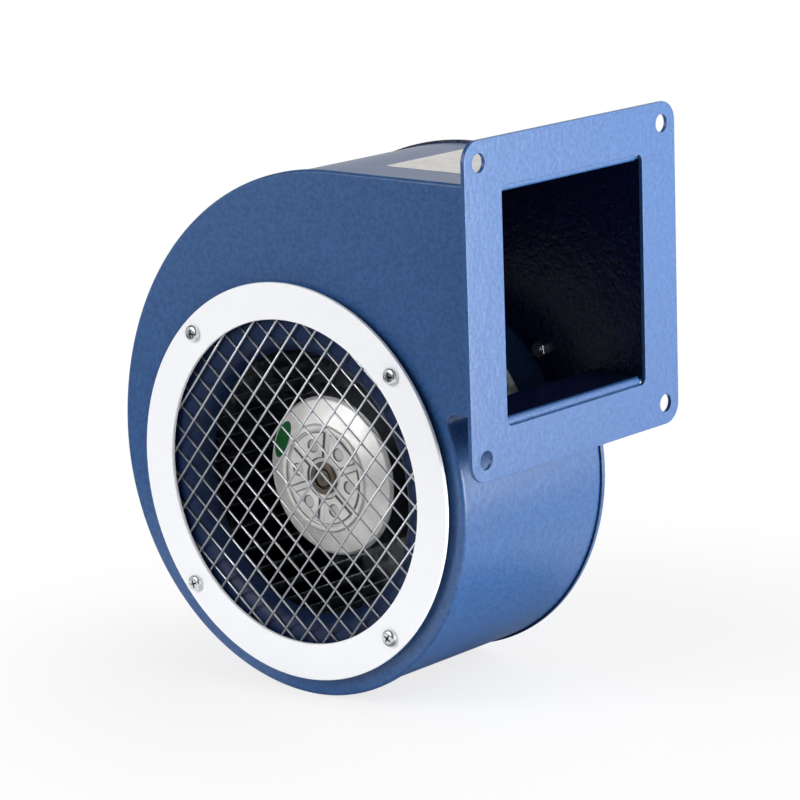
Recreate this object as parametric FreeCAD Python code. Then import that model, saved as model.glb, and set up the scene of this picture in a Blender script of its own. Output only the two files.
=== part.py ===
import FreeCAD, Part
import math
import os

# Centrifugal fan with a sheet-steel scroll casing and an external rotor motor, in millimetres.
# The origin is the centre of the outlet flange's four holes, on the flange's outer face.
# +X leaves the outlet, +Z is up, the inlet faces -Y and the motor's shaft lies along Y.

V = FreeCAD.Vector

# Casing: two side plates with seam rims folded over the edges of a scroll wrap
casing_width = 99.0
sheet = 1.0
rim_depth = 3.2
rim_bend = 1.5
rim_edge = 0.6
rim_fit = 0.1
scroll_start_radius = 96.0
scroll_side_radius = 107.5
scroll_top_radius = 132.0
tongue_radius = 4.0
duct_height = 100.0
shaft_to_flange = 120.0

# Outlet flange, with the duct's lips turned out against its back
flange_border = 22.0
flange_sheet = 2.0
flange_corner = 9.0
bolt_inset = 9.5
bolt_hole_radius = 4.0
opening_lap = 0.5
opening_step = 1.0
opening_corner = 3.0
lip_width = 8.0
lip_bend = 2.0

# Inlet: nozzle, wire guard and clamping ring, held by four screws; the guard sits above the shaft
inlet_hole_lap = 4.6
nozzle_sheet = 1.0
nozzle_flange_set_back = 2.0
nozzle_throat_radius = 60.0
nozzle_depth = 10.0
guard_rise = 2.5
wire_radius = 0.5
front_wire_pitch = 9.65
rear_wire_pitch = 9.35
wire_turn = 51.3
front_wire_shift = 2.2
rear_wire_shift = -4.3
mesh_lap = 5.6
ring_sheet = 2.0
ring_width = 16.6
ring_inner_radius = 73.4
ring_edge = 0.5
guard_screw_inset = 9.8
guard_screw_turn = 42.2
guard_screw_length = 9.0
guard_screw_radius = 2.0
guard_head_radius = 3.9
guard_head_height = 2.4
screw_clearance = 0.2

# Motor plate over the opening of the rear side plate
rear_hole_radius = 73.5
motor_plate_lap = 13.5
motor_plate_sheet = 1.5
motor_plate_hole = 27.0
motor_plate_screw_inset = 6.5
plate_screw_length = 6.5
plate_screw_radius = 2.0
plate_head_radius = 3.8
plate_head_height = 2.4
nut_across = 7.0
nut_height = 3.0
rear_screw_turn = 40.0

# Motor: the stator stands on the motor plate, and the rotor turns round it
stator_flange_radius = 40.0
stator_flange_taper = 2.0
stator_flange_edge = 1.5
stator_flange_height = 9.5
stator_web = 3.0
stator_rim = 8.0
stator_rib_count = 6
stator_rib_width = 3.0
stator_rib_set_back = 2.0
stator_boss_set_back = 1.0
stator_screw_circle = 36.0
stator_screw_length = 7.0
bearing_radius = 11.0
bearing_width = 7.0
bearing_set_back = 4.0
bearing_seal_gap = 0.08
bearing_inner_wall = 2.2
race_relief = 0.6
race_relief_depth = 0.5
tube_wall = 2.5
tube_stop = 1.0
stack_radius = 30.0
stack_length = 30.0
stack_front = -12.0
slot_count = 12
slot_width = 5.0
slot_bottom_radius = 17.5
slot_mouth = 1.5
coil_clearance = 0.1
coil_head = 8.0
coil_round = 2.5
air_gap = 0.35
core_wall = 4.35
core_length = 34.0
grommet_radius = 4.0
grommet_hole_radius = 2.6
grommet_circle = 21.0
grommet_lip = 1.5
grommet_turn = -90.0

# Rotor
shaft_radius = 4.0
shaft_end_gap = 1.0
hub_radius = 7.5
hub_counterbore = 4.9
hub_counterbore_depth = 2.5
hub_nose_wall = 1.8
rotor_front = -33.7
shoulder_drop = 5.7
disc_radius = 24.0
disc_rim = 1.8
disc_recess = 1.6
disc_skirt = 1.0
disc_skirt_drop = 1.2
cap_floor = 2.6
pad_count = 6
pad_height = 1.0
pad_inner_radius = 9.5
pad_outer_radius = 21.0
pad_channel = 3.2
pad_turn = 22.0
dimple_circle = 15.3
dimple_radius = 2.8
dimple_depth = 0.7
cap_edge = 1.3
cap_edge_round = 0.6
spigot_depth = 4.0
spigot_wall = 1.6
shell_wall = 1.8
shell_rear = 36.0
shell_flange_radius = 45.0
shell_flange_sheet = 2.0

# Impeller, clockwise when seen from the inlet
impeller_radius = 75.0
blade_inner_radius = 62.0
blade_count = 36
blade_sheet = 0.7
blade_lead = 5.6
impeller_front = -38.0
impeller_back = 25.0
impeller_sheet = 1.0
impeller_rim_depth = 4.0
impeller_rim_gap = 0.1
front_ring_inner_radius = 63.5
back_plate_clearance = 0.1
rivet_count = 6
rivet_circle = 40.5
rivet_radius = 1.6
rivet_head_radius = 3.0
rivet_head_height = 1.2

# Bare sticker on the rotor and bare label on top of the duct
sticker_length = 19.0
sticker_width = 9.5
sticker_sheet = 0.15
sticker_circle = 29.8
sticker_turn = 152.0
label_length = 76.0
label_width = 57.0
label_sheet = 0.2
label_from_flange = 8.0
label_from_front = 27.5

# Places that follow from the sizes above
front_y = -casing_width / 2
rear_y = casing_width / 2
duct_top = duct_height / 2
flange_size = duct_height + 2 * flange_border
bolt_pitch = flange_size - 2 * bolt_inset
ring_outer_radius = ring_inner_radius + ring_width
guard_screw_circle = ring_inner_radius + guard_screw_inset
mesh_radius = ring_inner_radius + mesh_lap
inlet_hole_radius = ring_inner_radius + inlet_hole_lap
nozzle_flange_radius = ring_outer_radius - nozzle_flange_set_back
motor_plate_radius = rear_hole_radius + motor_plate_lap
motor_plate_screw_circle = rear_hole_radius + motor_plate_screw_inset
flange_back = -flange_sheet
scroll_step = scroll_side_radius - scroll_start_radius
shaft_x = -shaft_to_flange
shaft_z = duct_top - scroll_top_radius - scroll_step
guard_z = shaft_z + guard_rise
wrap_inset = sheet + rim_fit
roof_outer = duct_top - wrap_inset
roof_inner = roof_outer - sheet
lip_y0 = front_y + rim_depth + rim_fit
lip_y1 = rear_y - rim_depth - rim_fit
nozzle_front = front_y - nozzle_sheet
ring_back = nozzle_front - 4 * wire_radius
ring_front = ring_back - ring_sheet
rotor_radius = stack_radius + air_gap + core_wall + shell_wall
shell_bore = rotor_radius - shell_wall
shoulder_y = rotor_front + shoulder_drop
shoulder_inner_radius = disc_radius + disc_skirt
shoulder_inner_y = rotor_front + disc_skirt_drop
shoulder_outer_radius = rotor_radius - cap_edge
shoulder_outer_y = shoulder_y - cap_edge_round
cap_back = shoulder_y + cap_edge
cap_inner = rotor_front + disc_recess + cap_floor
stator_web_front = rear_y - stator_flange_height
tube_radius = bearing_radius + tube_wall
front_bearing_y = cap_inner + bearing_set_back
rear_bearing_y = stator_web_front - bearing_width
inner_race_radius = shaft_radius + bearing_inner_wall


def rounded_wire(corners, place):
    """Closed wire through corners (u, v) or (u, v, radius); place(u, v) gives the point in space."""
    flat = [V(c[0], c[1], 0) for c in corners]
    radii = [c[2] if len(c) > 2 else 0.0 for c in corners]
    arrive, leave, crown = [], [], []
    for i, here in enumerate(flat):
        back = (flat[i - 1] - here).normalize()
        on = (flat[(i + 1) % len(flat)] - here).normalize()
        half = back.getAngle(on) / 2
        reach = radii[i] / math.tan(half)
        arrive.append(here + back * reach)
        leave.append(here + on * reach)
        inward = (back + on).normalize() if radii[i] else V(0, 0, 0)
        crown.append(here + inward * (radii[i] / math.sin(half) - radii[i]))
    edges = []
    for i in range(len(flat)):
        start, end = leave[i - 1], arrive[i]
        if (end - start).Length > 1e-6:
            edges.append(Part.makeLine(place(start.x, start.y), place(end.x, end.y)))
        if radii[i]:
            points = [place(p.x, p.y) for p in (arrive[i], crown[i], leave[i])]
            edges.append(Part.Arc(*points).toShape())
    return Part.Wire(edges)


def spun(corners, x=shaft_x, z=shaft_z):
    """Solid turned about an axis along Y through (x, z), from corners (radius, y, rounding)."""
    wire = rounded_wire(corners, lambda radius, y: V(x + radius, y, z))
    return Part.Face(wire).revolve(V(x, 0, z), V(0, 1, 0), 360)


def tube(inner, outer, y0, y1):
    """Plain ring round the shaft."""
    return spun([(inner, y0), (outer, y0), (outer, y1), (inner, y1)])


def rod(radius, y0, y1, x=shaft_x, z=shaft_z):
    """Round bar along Y."""
    return Part.makeCylinder(radius, y1 - y0, V(x, y0, z), V(0, 1, 0))


def round_about(radius, count, turn, z=shaft_z):
    """Points (x, z) spaced evenly on a circle about the shaft, or about a centre at height z."""
    steps = [math.radians(turn + 360.0 * i / count) for i in range(count)]
    return [(shaft_x + radius * math.cos(a), z + radius * math.sin(a)) for a in steps]


def turned_copies(shape, count, x=shaft_x, z=shaft_z):
    """The shape and its copies, spaced evenly about an axis along Y."""
    copies = []
    for i in range(count):
        copy = shape.copy()
        copy.rotate(V(x, 0, z), V(0, 1, 0), 360.0 * i / count)
        copies.append(copy)
    return copies


def pan_screw(x, z, seat, outward, length, radius, head_radius, head_height):
    """Screw along Y with a rounded head on its seat; outward is +1 or -1."""
    corners = [(0, -length), (radius, -length, 0.4), (radius, 0), (head_radius, 0),
               (head_radius, head_height, 0.6 * head_height), (0, head_height)]
    return spun([(c[0], seat + outward * c[1]) + tuple(c[2:]) for c in corners], x, z)


def box(x0, x1, y0, y1, z0, z1):
    """Block between two corners."""
    return Part.makeBox(x1 - x0, y1 - y0, z1 - z0, V(x0, y0, z0))


def casing_outline(inset, end_x):
    """Side outline of scroll and duct, moved inwards by inset; its open end is at end_x."""
    start, side, top = [r - inset for r in (scroll_start_radius, scroll_side_radius, scroll_top_radius)]
    middle_z = shaft_z + scroll_step
    top_x = shaft_x + scroll_top_radius - scroll_side_radius
    tongue = tongue_radius + inset
    tongue_z = -duct_top - tongue_radius
    reach = scroll_start_radius + tongue_radius
    tongue_x = shaft_x + math.sqrt(reach ** 2 - (tongue_z - shaft_z) ** 2)
    low = math.atan2(tongue_z - shaft_z, tongue_x - shaft_x)

    def at(centre_x, centre_z, radius, angle):
        return V(centre_x + radius * math.cos(angle), 0, centre_z + radius * math.sin(angle))

    roof_end = V(end_x, 0, duct_top - inset)
    floor_end = V(end_x, 0, -duct_top + inset)
    crest = V(top_x, 0, duct_top - inset)
    left = at(shaft_x, middle_z, side, math.pi)
    bottom = at(shaft_x, shaft_z, start, -math.pi / 2)
    tongue_low = at(shaft_x, shaft_z, start, low)
    tongue_middle = at(tongue_x, tongue_z, tongue, 0.75 * math.pi + low / 2)
    tongue_high = V(tongue_x, 0, -duct_top + inset)
    edges = [
        Part.makeLine(roof_end, crest),
        Part.Arc(crest, at(top_x, middle_z, top, 0.75 * math.pi), left).toShape(),
        Part.Arc(left, at(shaft_x, middle_z, side, 1.25 * math.pi), bottom).toShape(),
        Part.Arc(bottom, at(shaft_x, shaft_z, start, (low - math.pi / 2) / 2), tongue_low).toShape(),
        Part.Arc(tongue_low, tongue_middle, tongue_high).toShape(),
        Part.makeLine(tongue_high, floor_end),
        Part.makeLine(floor_end, roof_end),
    ]
    return Part.Wire(edges)


def casing_block(inset, end_x, y0, y1):
    """Solid with the casing's outline between two planes."""
    face = Part.Face(casing_outline(inset, end_x))
    face.translate(V(0, y0, 0))
    return face.extrude(V(0, y1 - y0, 0))


def outline_edges(solid, y, end_x):
    """Edges that lie in the plane y, without the one at the casing's open end."""
    picked = []
    for edge in solid.Edges:
        spots = [v.Point for v in edge.Vertexes] + [edge.CenterOfMass]
        if all(abs(p.y - y) < 1e-4 for p in spots) and not all(abs(p.x - end_x) < 1e-4 for p in spots):
            picked.append(edge)
    return picked


def side_plate(outer_y, inward):
    """Side plate with a seam rim folded over the wrap's edge and a lip turned out behind the flange."""
    rim_y = outer_y + inward * rim_depth
    block = casing_block(0, flange_back, outer_y, rim_y)
    block = block.makeFillet(rim_bend, outline_edges(block, outer_y, flange_back))
    block = block.makeFillet(rim_edge, outline_edges(block, rim_y, flange_back))
    inner_y = outer_y + inward * sheet
    past = flange_back + sheet
    hollow = casing_block(sheet, past, inner_y, rim_y + inward)
    hollow = hollow.makeFillet(rim_bend - sheet, outline_edges(hollow, inner_y, past))
    lip_y = sorted([outer_y - inward * lip_width, inner_y])
    half = duct_top - rim_bend
    lip = box(flange_back - sheet, flange_back, *lip_y, -half, half)
    return block.cut(hollow).fuse(lip).removeSplitter()


def front_side_plate():
    """Plate of the inlet side, with the hole that the impeller is fitted through."""
    plate = side_plate(front_y, 1).cut(rod(inlet_hole_radius, front_y - 1, front_y + rim_depth))
    for x, z in round_about(guard_screw_circle, 4, guard_screw_turn, guard_z):
        plate = plate.cut(rod(guard_screw_radius, front_y - 1, front_y + rim_depth, x, z))
    return plate


def rear_side_plate():
    """Plate of the motor side, with the opening that the motor plate covers."""
    hole_radius = plate_screw_radius + screw_clearance
    plate = side_plate(rear_y, -1).cut(rod(rear_hole_radius, rear_y - rim_depth, rear_y + 1))
    for x, z in round_about(motor_plate_screw_circle, 4, rear_screw_turn):
        plate = plate.cut(rod(hole_radius, rear_y - rim_depth, rear_y + 1, x, z))
    return plate


def scroll_wrap():
    """Strip rolled between the side plates' rims, its two ends turned out against the flange."""
    y0, y1 = front_y + rim_bend, rear_y - rim_bend
    bend_x = flange_back - lip_bend
    wrap = casing_block(wrap_inset, bend_x, y0, y1)
    wrap = wrap.cut(casing_block(wrap_inset + sheet, flange_back, y0 - 1, y1 + 1))
    for side in (1, -1):
        corners = [
            (bend_x - sheet, roof_inner), (flange_back, roof_inner, lip_bend),
            (flange_back, roof_outer + lip_width), (flange_back - sheet, roof_outer + lip_width),
            (flange_back - sheet, roof_outer, lip_bend - sheet), (bend_x - sheet, roof_outer)]
        wire = rounded_wire(corners, lambda x, z: V(x, lip_y0, side * z))
        wrap = wrap.fuse(Part.Face(wire).extrude(V(0, lip_y1 - lip_y0, 0)))
    return wrap.removeSplitter()


def outlet_flange():
    """Square plate with rounded corners, the duct's opening and four bolt holes."""
    half = flange_size / 2
    opening_y = casing_width / 2 - sheet - opening_lap
    opening_z = duct_top + opening_step
    plate = flange_slab(half, half, flange_corner)
    plate = plate.cut(flange_slab(opening_y, opening_z, opening_corner))
    for y in (-bolt_pitch / 2, bolt_pitch / 2):
        for z in (-bolt_pitch / 2, bolt_pitch / 2):
            start = V(flange_back - 1, y, z)
            plate = plate.cut(Part.makeCylinder(bolt_hole_radius, flange_sheet + 2, start, V(1, 0, 0)))
    return plate


def flange_slab(half_y, half_z, corner):
    """Rounded rectangle as thick as the flange."""
    corners = [(-half_y, -half_z, corner), (half_y, -half_z, corner),
               (half_y, half_z, corner), (-half_y, half_z, corner)]
    wire = rounded_wire(corners, lambda y, z: V(flange_back, y, z))
    return Part.Face(wire).extrude(V(flange_sheet, 0, 0))


def inlet_nozzle():
    """Spun bell that leads the air into the impeller; its flange lies centrally under the guard."""
    lip_y = nozzle_front + nozzle_depth
    shoulder = nozzle_throat_radius + nozzle_depth
    edge = nozzle_flange_radius + 2 * guard_rise
    inside_bend = nozzle_depth - nozzle_sheet
    slant = math.sqrt(0.5)
    front = [shaft_point(edge, nozzle_front), shaft_point(shoulder, nozzle_front),
             shaft_point(shoulder - nozzle_depth * slant, lip_y - nozzle_depth * slant),
             shaft_point(nozzle_throat_radius, lip_y)]
    back = [shaft_point(nozzle_throat_radius + nozzle_sheet, lip_y),
            shaft_point(shoulder - inside_bend * slant, lip_y - inside_bend * slant),
            shaft_point(shoulder, front_y), shaft_point(edge, front_y)]
    profile = Part.Wire([
        Part.makeLine(front[0], front[1]), Part.Arc(*front[1:]).toShape(),
        Part.makeLine(front[3], back[0]), Part.Arc(*back[:3]).toShape(),
        Part.makeLine(back[2], back[3]), Part.makeLine(back[3], front[0]),
    ])
    nozzle = Part.Face(profile).revolve(V(shaft_x, 0, shaft_z), V(0, 1, 0), 360)
    nozzle = nozzle.common(rod(nozzle_flange_radius, nozzle_front, lip_y, shaft_x, guard_z))
    hole_radius = guard_screw_radius + screw_clearance
    for x, z in round_about(guard_screw_circle, 4, guard_screw_turn, guard_z):
        nozzle = nozzle.cut(rod(hole_radius, nozzle_front - 1, front_y + 1, x, z))
    return nozzle


def shaft_point(radius, y):
    """Point beside the shaft, in the plane that profiles are drawn in."""
    return V(shaft_x + radius, y, shaft_z)


def guard_wires(turn, pitch, shift, y):
    """Parallel wires of the guard, cut off at the mesh's round edge, as separate rods."""
    angle = math.radians(turn)
    along = V(math.cos(angle), 0, math.sin(angle))
    across = V(-math.sin(angle), 0, math.cos(angle))
    wires = []
    reach = int(mesh_radius / pitch) + 1
    for i in range(-reach, reach + 1):
        offset = shift + i * pitch
        if abs(offset) < mesh_radius - 2 * wire_radius:
            half = math.sqrt(mesh_radius ** 2 - offset ** 2)
            start = V(shaft_x, y, guard_z) + across * offset - along * half
            wires.append(Part.makeCylinder(wire_radius, 2 * half, start, along))
    return Part.makeCompound(wires)


def guard_ring():
    """Flat ring that clamps the wire guard."""
    corners = [(ring_inner_radius, ring_front, ring_edge), (ring_outer_radius, ring_front, ring_edge),
               (ring_outer_radius, ring_back), (ring_inner_radius, ring_back)]
    ring = spun(corners, shaft_x, guard_z)
    hole_radius = guard_screw_radius + screw_clearance
    for x, z in round_about(guard_screw_circle, 4, guard_screw_turn, guard_z):
        ring = ring.cut(rod(hole_radius, ring_front - 1, ring_back + 1, x, z))
    return ring


def guard_screws():
    """Four screws through ring and nozzle into the side plate."""
    size = (guard_screw_length, guard_screw_radius, guard_head_radius, guard_head_height)
    spots = round_about(guard_screw_circle, 4, guard_screw_turn, guard_z)
    return Part.makeCompound([pan_screw(x, z, ring_front, -1, *size) for x, z in spots])


def motor_plate():
    """Disc outside the rear side plate that carries the motor."""
    plate_y = rear_y + motor_plate_sheet
    plate = spun([(motor_plate_hole, rear_y), (motor_plate_radius, rear_y),
                  (motor_plate_radius, plate_y, 0.5), (motor_plate_hole, plate_y)])
    hole_radius = plate_screw_radius + screw_clearance
    spots = round_about(motor_plate_screw_circle, 4, rear_screw_turn)
    for x, z in spots + round_about(stator_screw_circle, 4, rear_screw_turn):
        plate = plate.cut(rod(hole_radius, rear_y - 1, plate_y + 1, x, z))
    return plate


def motor_plate_screws():
    """Screws that hold the motor plate, heads outside."""
    size = (plate_screw_length, plate_screw_radius, plate_head_radius, plate_head_height)
    spots = round_about(motor_plate_screw_circle, 4, rear_screw_turn)
    return Part.makeCompound([pan_screw(x, z, rear_y + motor_plate_sheet, 1, *size) for x, z in spots])


def motor_plate_nuts():
    """Hexagon nuts inside the casing, on the motor plate's screws."""
    seat = rear_y - sheet
    corner = nut_across / math.sqrt(3)
    turns = [math.radians(60 * i) for i in range(7)]
    nuts = []
    for x, z in round_about(motor_plate_screw_circle, 4, rear_screw_turn):
        ring = [V(x + corner * math.cos(a), seat - nut_height, z + corner * math.sin(a)) for a in turns]
        nut = Part.Face(Part.makePolygon(ring)).extrude(V(0, nut_height, 0))
        nuts.append(nut.cut(rod(plate_screw_radius, seat - nut_height - 1, seat + 1, x, z)))
    return Part.makeCompound(nuts)


def stator_flange():
    """Cast foot of the motor: rim and ribbed web on the motor plate, and the bearing tube."""
    web_back = stator_web_front + stator_web
    tube_front = front_bearing_y - tube_stop
    rim_inner = stator_flange_radius - stator_rim
    shoulder = stator_flange_radius - stator_flange_taper
    relief_y = stator_web_front + race_relief_depth
    body = spun([
        (0, relief_y), (inner_race_radius + race_relief, relief_y),
        (inner_race_radius + race_relief, stator_web_front), (bearing_radius, stator_web_front),
        (bearing_radius, tube_front), (tube_radius, tube_front), (tube_radius, stator_web_front),
        (shoulder, stator_web_front, stator_flange_edge), (stator_flange_radius, rear_y),
        (rim_inner, rear_y), (rim_inner, web_back, 1.0), (0, web_back)])
    inside_web = stator_web_front + stator_web / 2
    ribs = [rod(bearing_radius, inside_web, rear_y - stator_boss_set_back)]
    for angle in range(stator_rib_count):
        rib = box(shaft_x, shaft_x + rim_inner + 1, inside_web, rear_y - stator_rib_set_back,
                  shaft_z - stator_rib_width / 2, shaft_z + stator_rib_width / 2)
        rib.rotate(V(shaft_x, 0, shaft_z), V(0, 1, 0), 360.0 * angle / stator_rib_count)
        ribs.append(rib)
    body = body.fuse(ribs).removeSplitter()
    for x, z in round_about(stator_screw_circle, 4, rear_screw_turn):
        body = body.cut(rod(plate_screw_radius, rear_y - stator_screw_length, rear_y + 1, x, z))
    x, z = round_about(grommet_circle, 1, grommet_turn)[0]
    return body.cut(rod(grommet_radius, stator_web_front - 1, rear_y, x, z))


def stator_screws():
    """Screws from behind the motor plate into the stator's foot."""
    length = motor_plate_sheet + stator_screw_length - 1
    size = (length, plate_screw_radius, plate_head_radius, plate_head_height)
    spots = round_about(stator_screw_circle, 4, rear_screw_turn)
    return Part.makeCompound([pan_screw(x, z, rear_y + motor_plate_sheet, 1, *size) for x, z in spots])


def cable_grommet():
    """Rubber grommet in the motor's foot, where the lead comes out."""
    x, z = round_about(grommet_circle, 1, grommet_turn)[0]
    web_back = stator_web_front + stator_web
    front, back = stator_web_front - grommet_lip, web_back + grommet_lip
    wide = grommet_radius + grommet_lip
    return spun([
        (grommet_hole_radius, front), (wide, front, 0.6), (wide, stator_web_front),
        (grommet_radius, stator_web_front), (grommet_radius, web_back), (wide, web_back),
        (wide, back, 0.6), (grommet_hole_radius, back)], x, z)


def slot_bars(width, bottom, top, y0, y1):
    """One block for each slot of the stator, standing off the shaft."""
    bar = box(shaft_x + bottom, shaft_x + top, y0, y1, shaft_z - width / 2, shaft_z + width / 2)
    return turned_copies(bar, slot_count)


def stator_stack():
    """Laminated core on the bearing tube, with open slots round its edge."""
    back = stack_front + stack_length
    slots = slot_bars(slot_width, slot_bottom_radius, stack_radius + 1, stack_front - 1, back + 1)
    return tube(tube_radius, stack_radius, stack_front, back).cut(slots)


def stator_windings():
    """Coils in the slots, joined by the end heads."""
    back = stack_front + stack_length
    inner, outer = slot_bottom_radius + coil_clearance, stack_radius - slot_mouth
    bars = slot_bars(slot_width - 2 * coil_clearance, inner, outer, stack_front - 1, back + 1)
    front_head = spun([(inner, stack_front), (inner, stack_front - coil_head, coil_round),
                       (outer, stack_front - coil_head, coil_round), (outer, stack_front)])
    rear_head = spun([(inner, back), (outer, back), (outer, back + coil_head, coil_round),
                      (inner, back + coil_head, coil_round)])
    return front_head.fuse(bars + [rear_head]).removeSplitter()


def bearing_outer(y):
    """Outer race and seals of a ball bearing, in the stator's tube."""
    return tube(inner_race_radius + bearing_seal_gap, bearing_radius, y, y + bearing_width)


def bearing_inner(y):
    """Inner race of a ball bearing, on the shaft."""
    return tube(shaft_radius, inner_race_radius, y, y + bearing_width)


def shaft():
    """Motor shaft with chamfered ends."""
    back = stator_web_front - shaft_end_gap
    return spun([(0, rotor_front), (shaft_radius - 0.5, rotor_front), (shaft_radius, rotor_front + 0.5),
                 (shaft_radius, back - 0.5), (shaft_radius - 0.5, back), (0, back)])


def rotor_hub():
    """Steel bush between the shaft and the cast cap, reaching back to the front bearing."""
    back = front_bearing_y
    step = rotor_front + hub_counterbore_depth
    nose_radius = shaft_radius + hub_nose_wall
    return spun([
        (shaft_radius, step), (hub_counterbore, step), (hub_counterbore, rotor_front),
        (hub_radius, rotor_front, 0.4), (hub_radius, cap_inner), (nose_radius, cap_inner),
        (nose_radius, back), (shaft_radius, back)])


def rotor_cap():
    """Cast front of the rotor: rimmed disc with pads and dimples, and a sloping shoulder."""
    floor = rotor_front + disc_recess
    rim_inner = disc_radius - disc_rim
    spigot = shell_bore - spigot_wall
    cap = spun([
        (hub_radius, floor), (rim_inner, floor, 0.4), (rim_inner, rotor_front, 0.3),
        (disc_radius, rotor_front, 0.5), (shoulder_inner_radius, shoulder_inner_y, 0.8),
        (shoulder_outer_radius, shoulder_outer_y, 2.0), (rotor_radius, cap_back - 0.4, 0.4),
        (rotor_radius, cap_back), (shell_bore, cap_back), (shell_bore, cap_back + spigot_depth),
        (spigot, cap_back + spigot_depth), (spigot, cap_back, 2.0), (disc_radius, cap_inner, 2.0),
        (hub_radius, cap_inner)])
    pads = tube(pad_inner_radius, pad_outer_radius, floor - pad_height, floor)
    channel = box(shaft_x, shaft_x + pad_outer_radius + 1, floor - pad_height - 1, floor,
                  shaft_z - pad_channel / 2, shaft_z + pad_channel / 2)
    channel.rotate(V(shaft_x, 0, shaft_z), V(0, 1, 0), -pad_turn)
    cap = cap.fuse(pads.cut(turned_copies(channel, pad_count))).removeSplitter()
    turn = pad_turn + 180.0 / pad_count
    dimples = [rod(dimple_radius, floor - pad_height - 1, floor - pad_height + dimple_depth, x, z)
               for x, z in round_about(dimple_circle, pad_count, turn)]
    return cap.cut(dimples)


def rotor_shell():
    """Steel cup wall of the rotor, with the flange that the impeller is riveted to."""
    flange_y = impeller_back + impeller_sheet
    return spun([
        (shell_bore, cap_back), (rotor_radius, cap_back), (rotor_radius, flange_y),
        (shell_flange_radius, flange_y), (shell_flange_radius, flange_y + shell_flange_sheet, 0.6),
        (rotor_radius, flange_y + shell_flange_sheet), (rotor_radius, shell_rear, 0.5),
        (shell_bore, shell_rear)
    ]).cut(rivet_holes(flange_y, flange_y + shell_flange_sheet))


def rivet_holes(y0, y1):
    """Holes for the impeller's rivets."""
    spots = round_about(rivet_circle, rivet_count, 0)
    return [rod(rivet_radius, y0 - 1, y1 + 1, x, z) for x, z in spots]


def rotor_core():
    """Laminated ring of the rotor, round the stator."""
    front = stack_front - (core_length - stack_length) / 2
    return tube(stack_radius + air_gap, shell_bore, front, front + core_length)


def impeller_back_plate():
    """Disc that carries the blades, with a rim round their ends."""
    back = impeller_back + impeller_sheet
    rim = impeller_radius + impeller_rim_gap
    rim_front = impeller_back - impeller_rim_depth
    return spun([
        (rotor_radius + back_plate_clearance, impeller_back), (rim, impeller_back),
        (rim, rim_front), (rim + impeller_sheet, rim_front),
        (rim + impeller_sheet, back, 1.5), (rotor_radius + back_plate_clearance, back)
    ]).cut(rivet_holes(impeller_back, back))


def impeller_front_ring():
    """Ring that joins the blades at the inlet side, with a rim round their ends."""
    rim = impeller_radius + impeller_rim_gap
    front, inner = impeller_front, impeller_front + impeller_sheet
    return spun([
        (front_ring_inner_radius, front), (rim + impeller_sheet, front, 1.5),
        (rim + impeller_sheet, inner + impeller_rim_depth), (rim, inner + impeller_rim_depth),
        (rim, inner), (front_ring_inner_radius, inner)])


def impeller_blades():
    """Forward-curved blades, radial at the inner edge and leading clockwise at the outer edge."""
    lead = math.radians(blade_lead)
    inner = (blade_inner_radius, 0.0)
    tip = impeller_radius - blade_sheet / 2
    outer = (tip * math.cos(lead), -tip * math.sin(lead))
    run, rise = outer[0] - inner[0], outer[1] - inner[1]
    bend_radius = (run ** 2 + rise ** 2) / (2 * abs(rise))
    sweep = 2 * math.atan2(abs(rise), run)

    def at(radius, angle):
        x = shaft_x + inner[0] + radius * math.sin(angle)
        return V(x, impeller_front + impeller_sheet, shaft_z - bend_radius + radius * math.cos(angle))

    near, far = bend_radius - blade_sheet / 2, bend_radius + blade_sheet / 2
    edges = [
        Part.Arc(at(far, 0), at(far, sweep / 2), at(far, sweep)).toShape(),
        Part.makeLine(at(far, sweep), at(near, sweep)),
        Part.Arc(at(near, sweep), at(near, sweep / 2), at(near, 0)).toShape(),
        Part.makeLine(at(near, 0), at(far, 0)),
    ]
    length = impeller_back - impeller_front - impeller_sheet
    blade = Part.Face(Part.Wire(edges)).extrude(V(0, length, 0))
    return Part.makeCompound(turned_copies(blade, blade_count))


def impeller_rivets():
    """Rivets through the back plate and the rotor's flange."""
    front, back = impeller_back, impeller_back + impeller_sheet + shell_flange_sheet
    rivets = []
    for x, z in round_about(rivet_circle, rivet_count, 0):
        rivets.append(spun([
            (0, front - rivet_head_height), (rivet_head_radius, front - rivet_head_height, 0.8),
            (rivet_head_radius, front), (rivet_radius, front), (rivet_radius, back),
            (rivet_head_radius, back), (rivet_head_radius, back + rivet_head_height, 0.8),
            (0, back + rivet_head_height)], x, z))
    return Part.makeCompound(rivets)


def inspection_sticker():
    """Bare oval sticker, laid over the shoulder of the rotor's cap."""
    run = shoulder_outer_radius - shoulder_inner_radius
    slope = (shoulder_outer_y - shoulder_inner_y) / run
    inner, outer = shoulder_inner_radius, shoulder_outer_radius

    def cone(lift):
        foot = shoulder_inner_y - lift
        return spun([(inner, foot), (outer, foot + slope * run), (outer, shell_rear), (inner, shell_rear)])

    skin = cone(sticker_sheet).cut(cone(0))
    x, z = round_about(sticker_circle, 1, sticker_turn)[0]
    oval = Part.Ellipse(V(0, 0, 0), sticker_length / 2, sticker_width / 2)
    stamp = Part.Face(Part.Wire(oval.toShape())).extrude(V(0, 0, 2 * abs(rotor_front)))
    stamp.rotate(V(0, 0, 0), V(1, 0, 0), 90)
    stamp.rotate(V(0, 0, 0), V(0, 1, 0), 90 - sticker_turn)
    stamp.translate(V(x, 0, z))
    return skin.common(stamp)


def rating_label():
    """Bare label on the roof of the duct."""
    x1 = flange_back - label_from_flange
    y0 = front_y + label_from_front
    z0 = roof_outer
    return box(x1 - label_length, x1, y0, y0 + label_width, z0, z0 + label_sheet)


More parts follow.
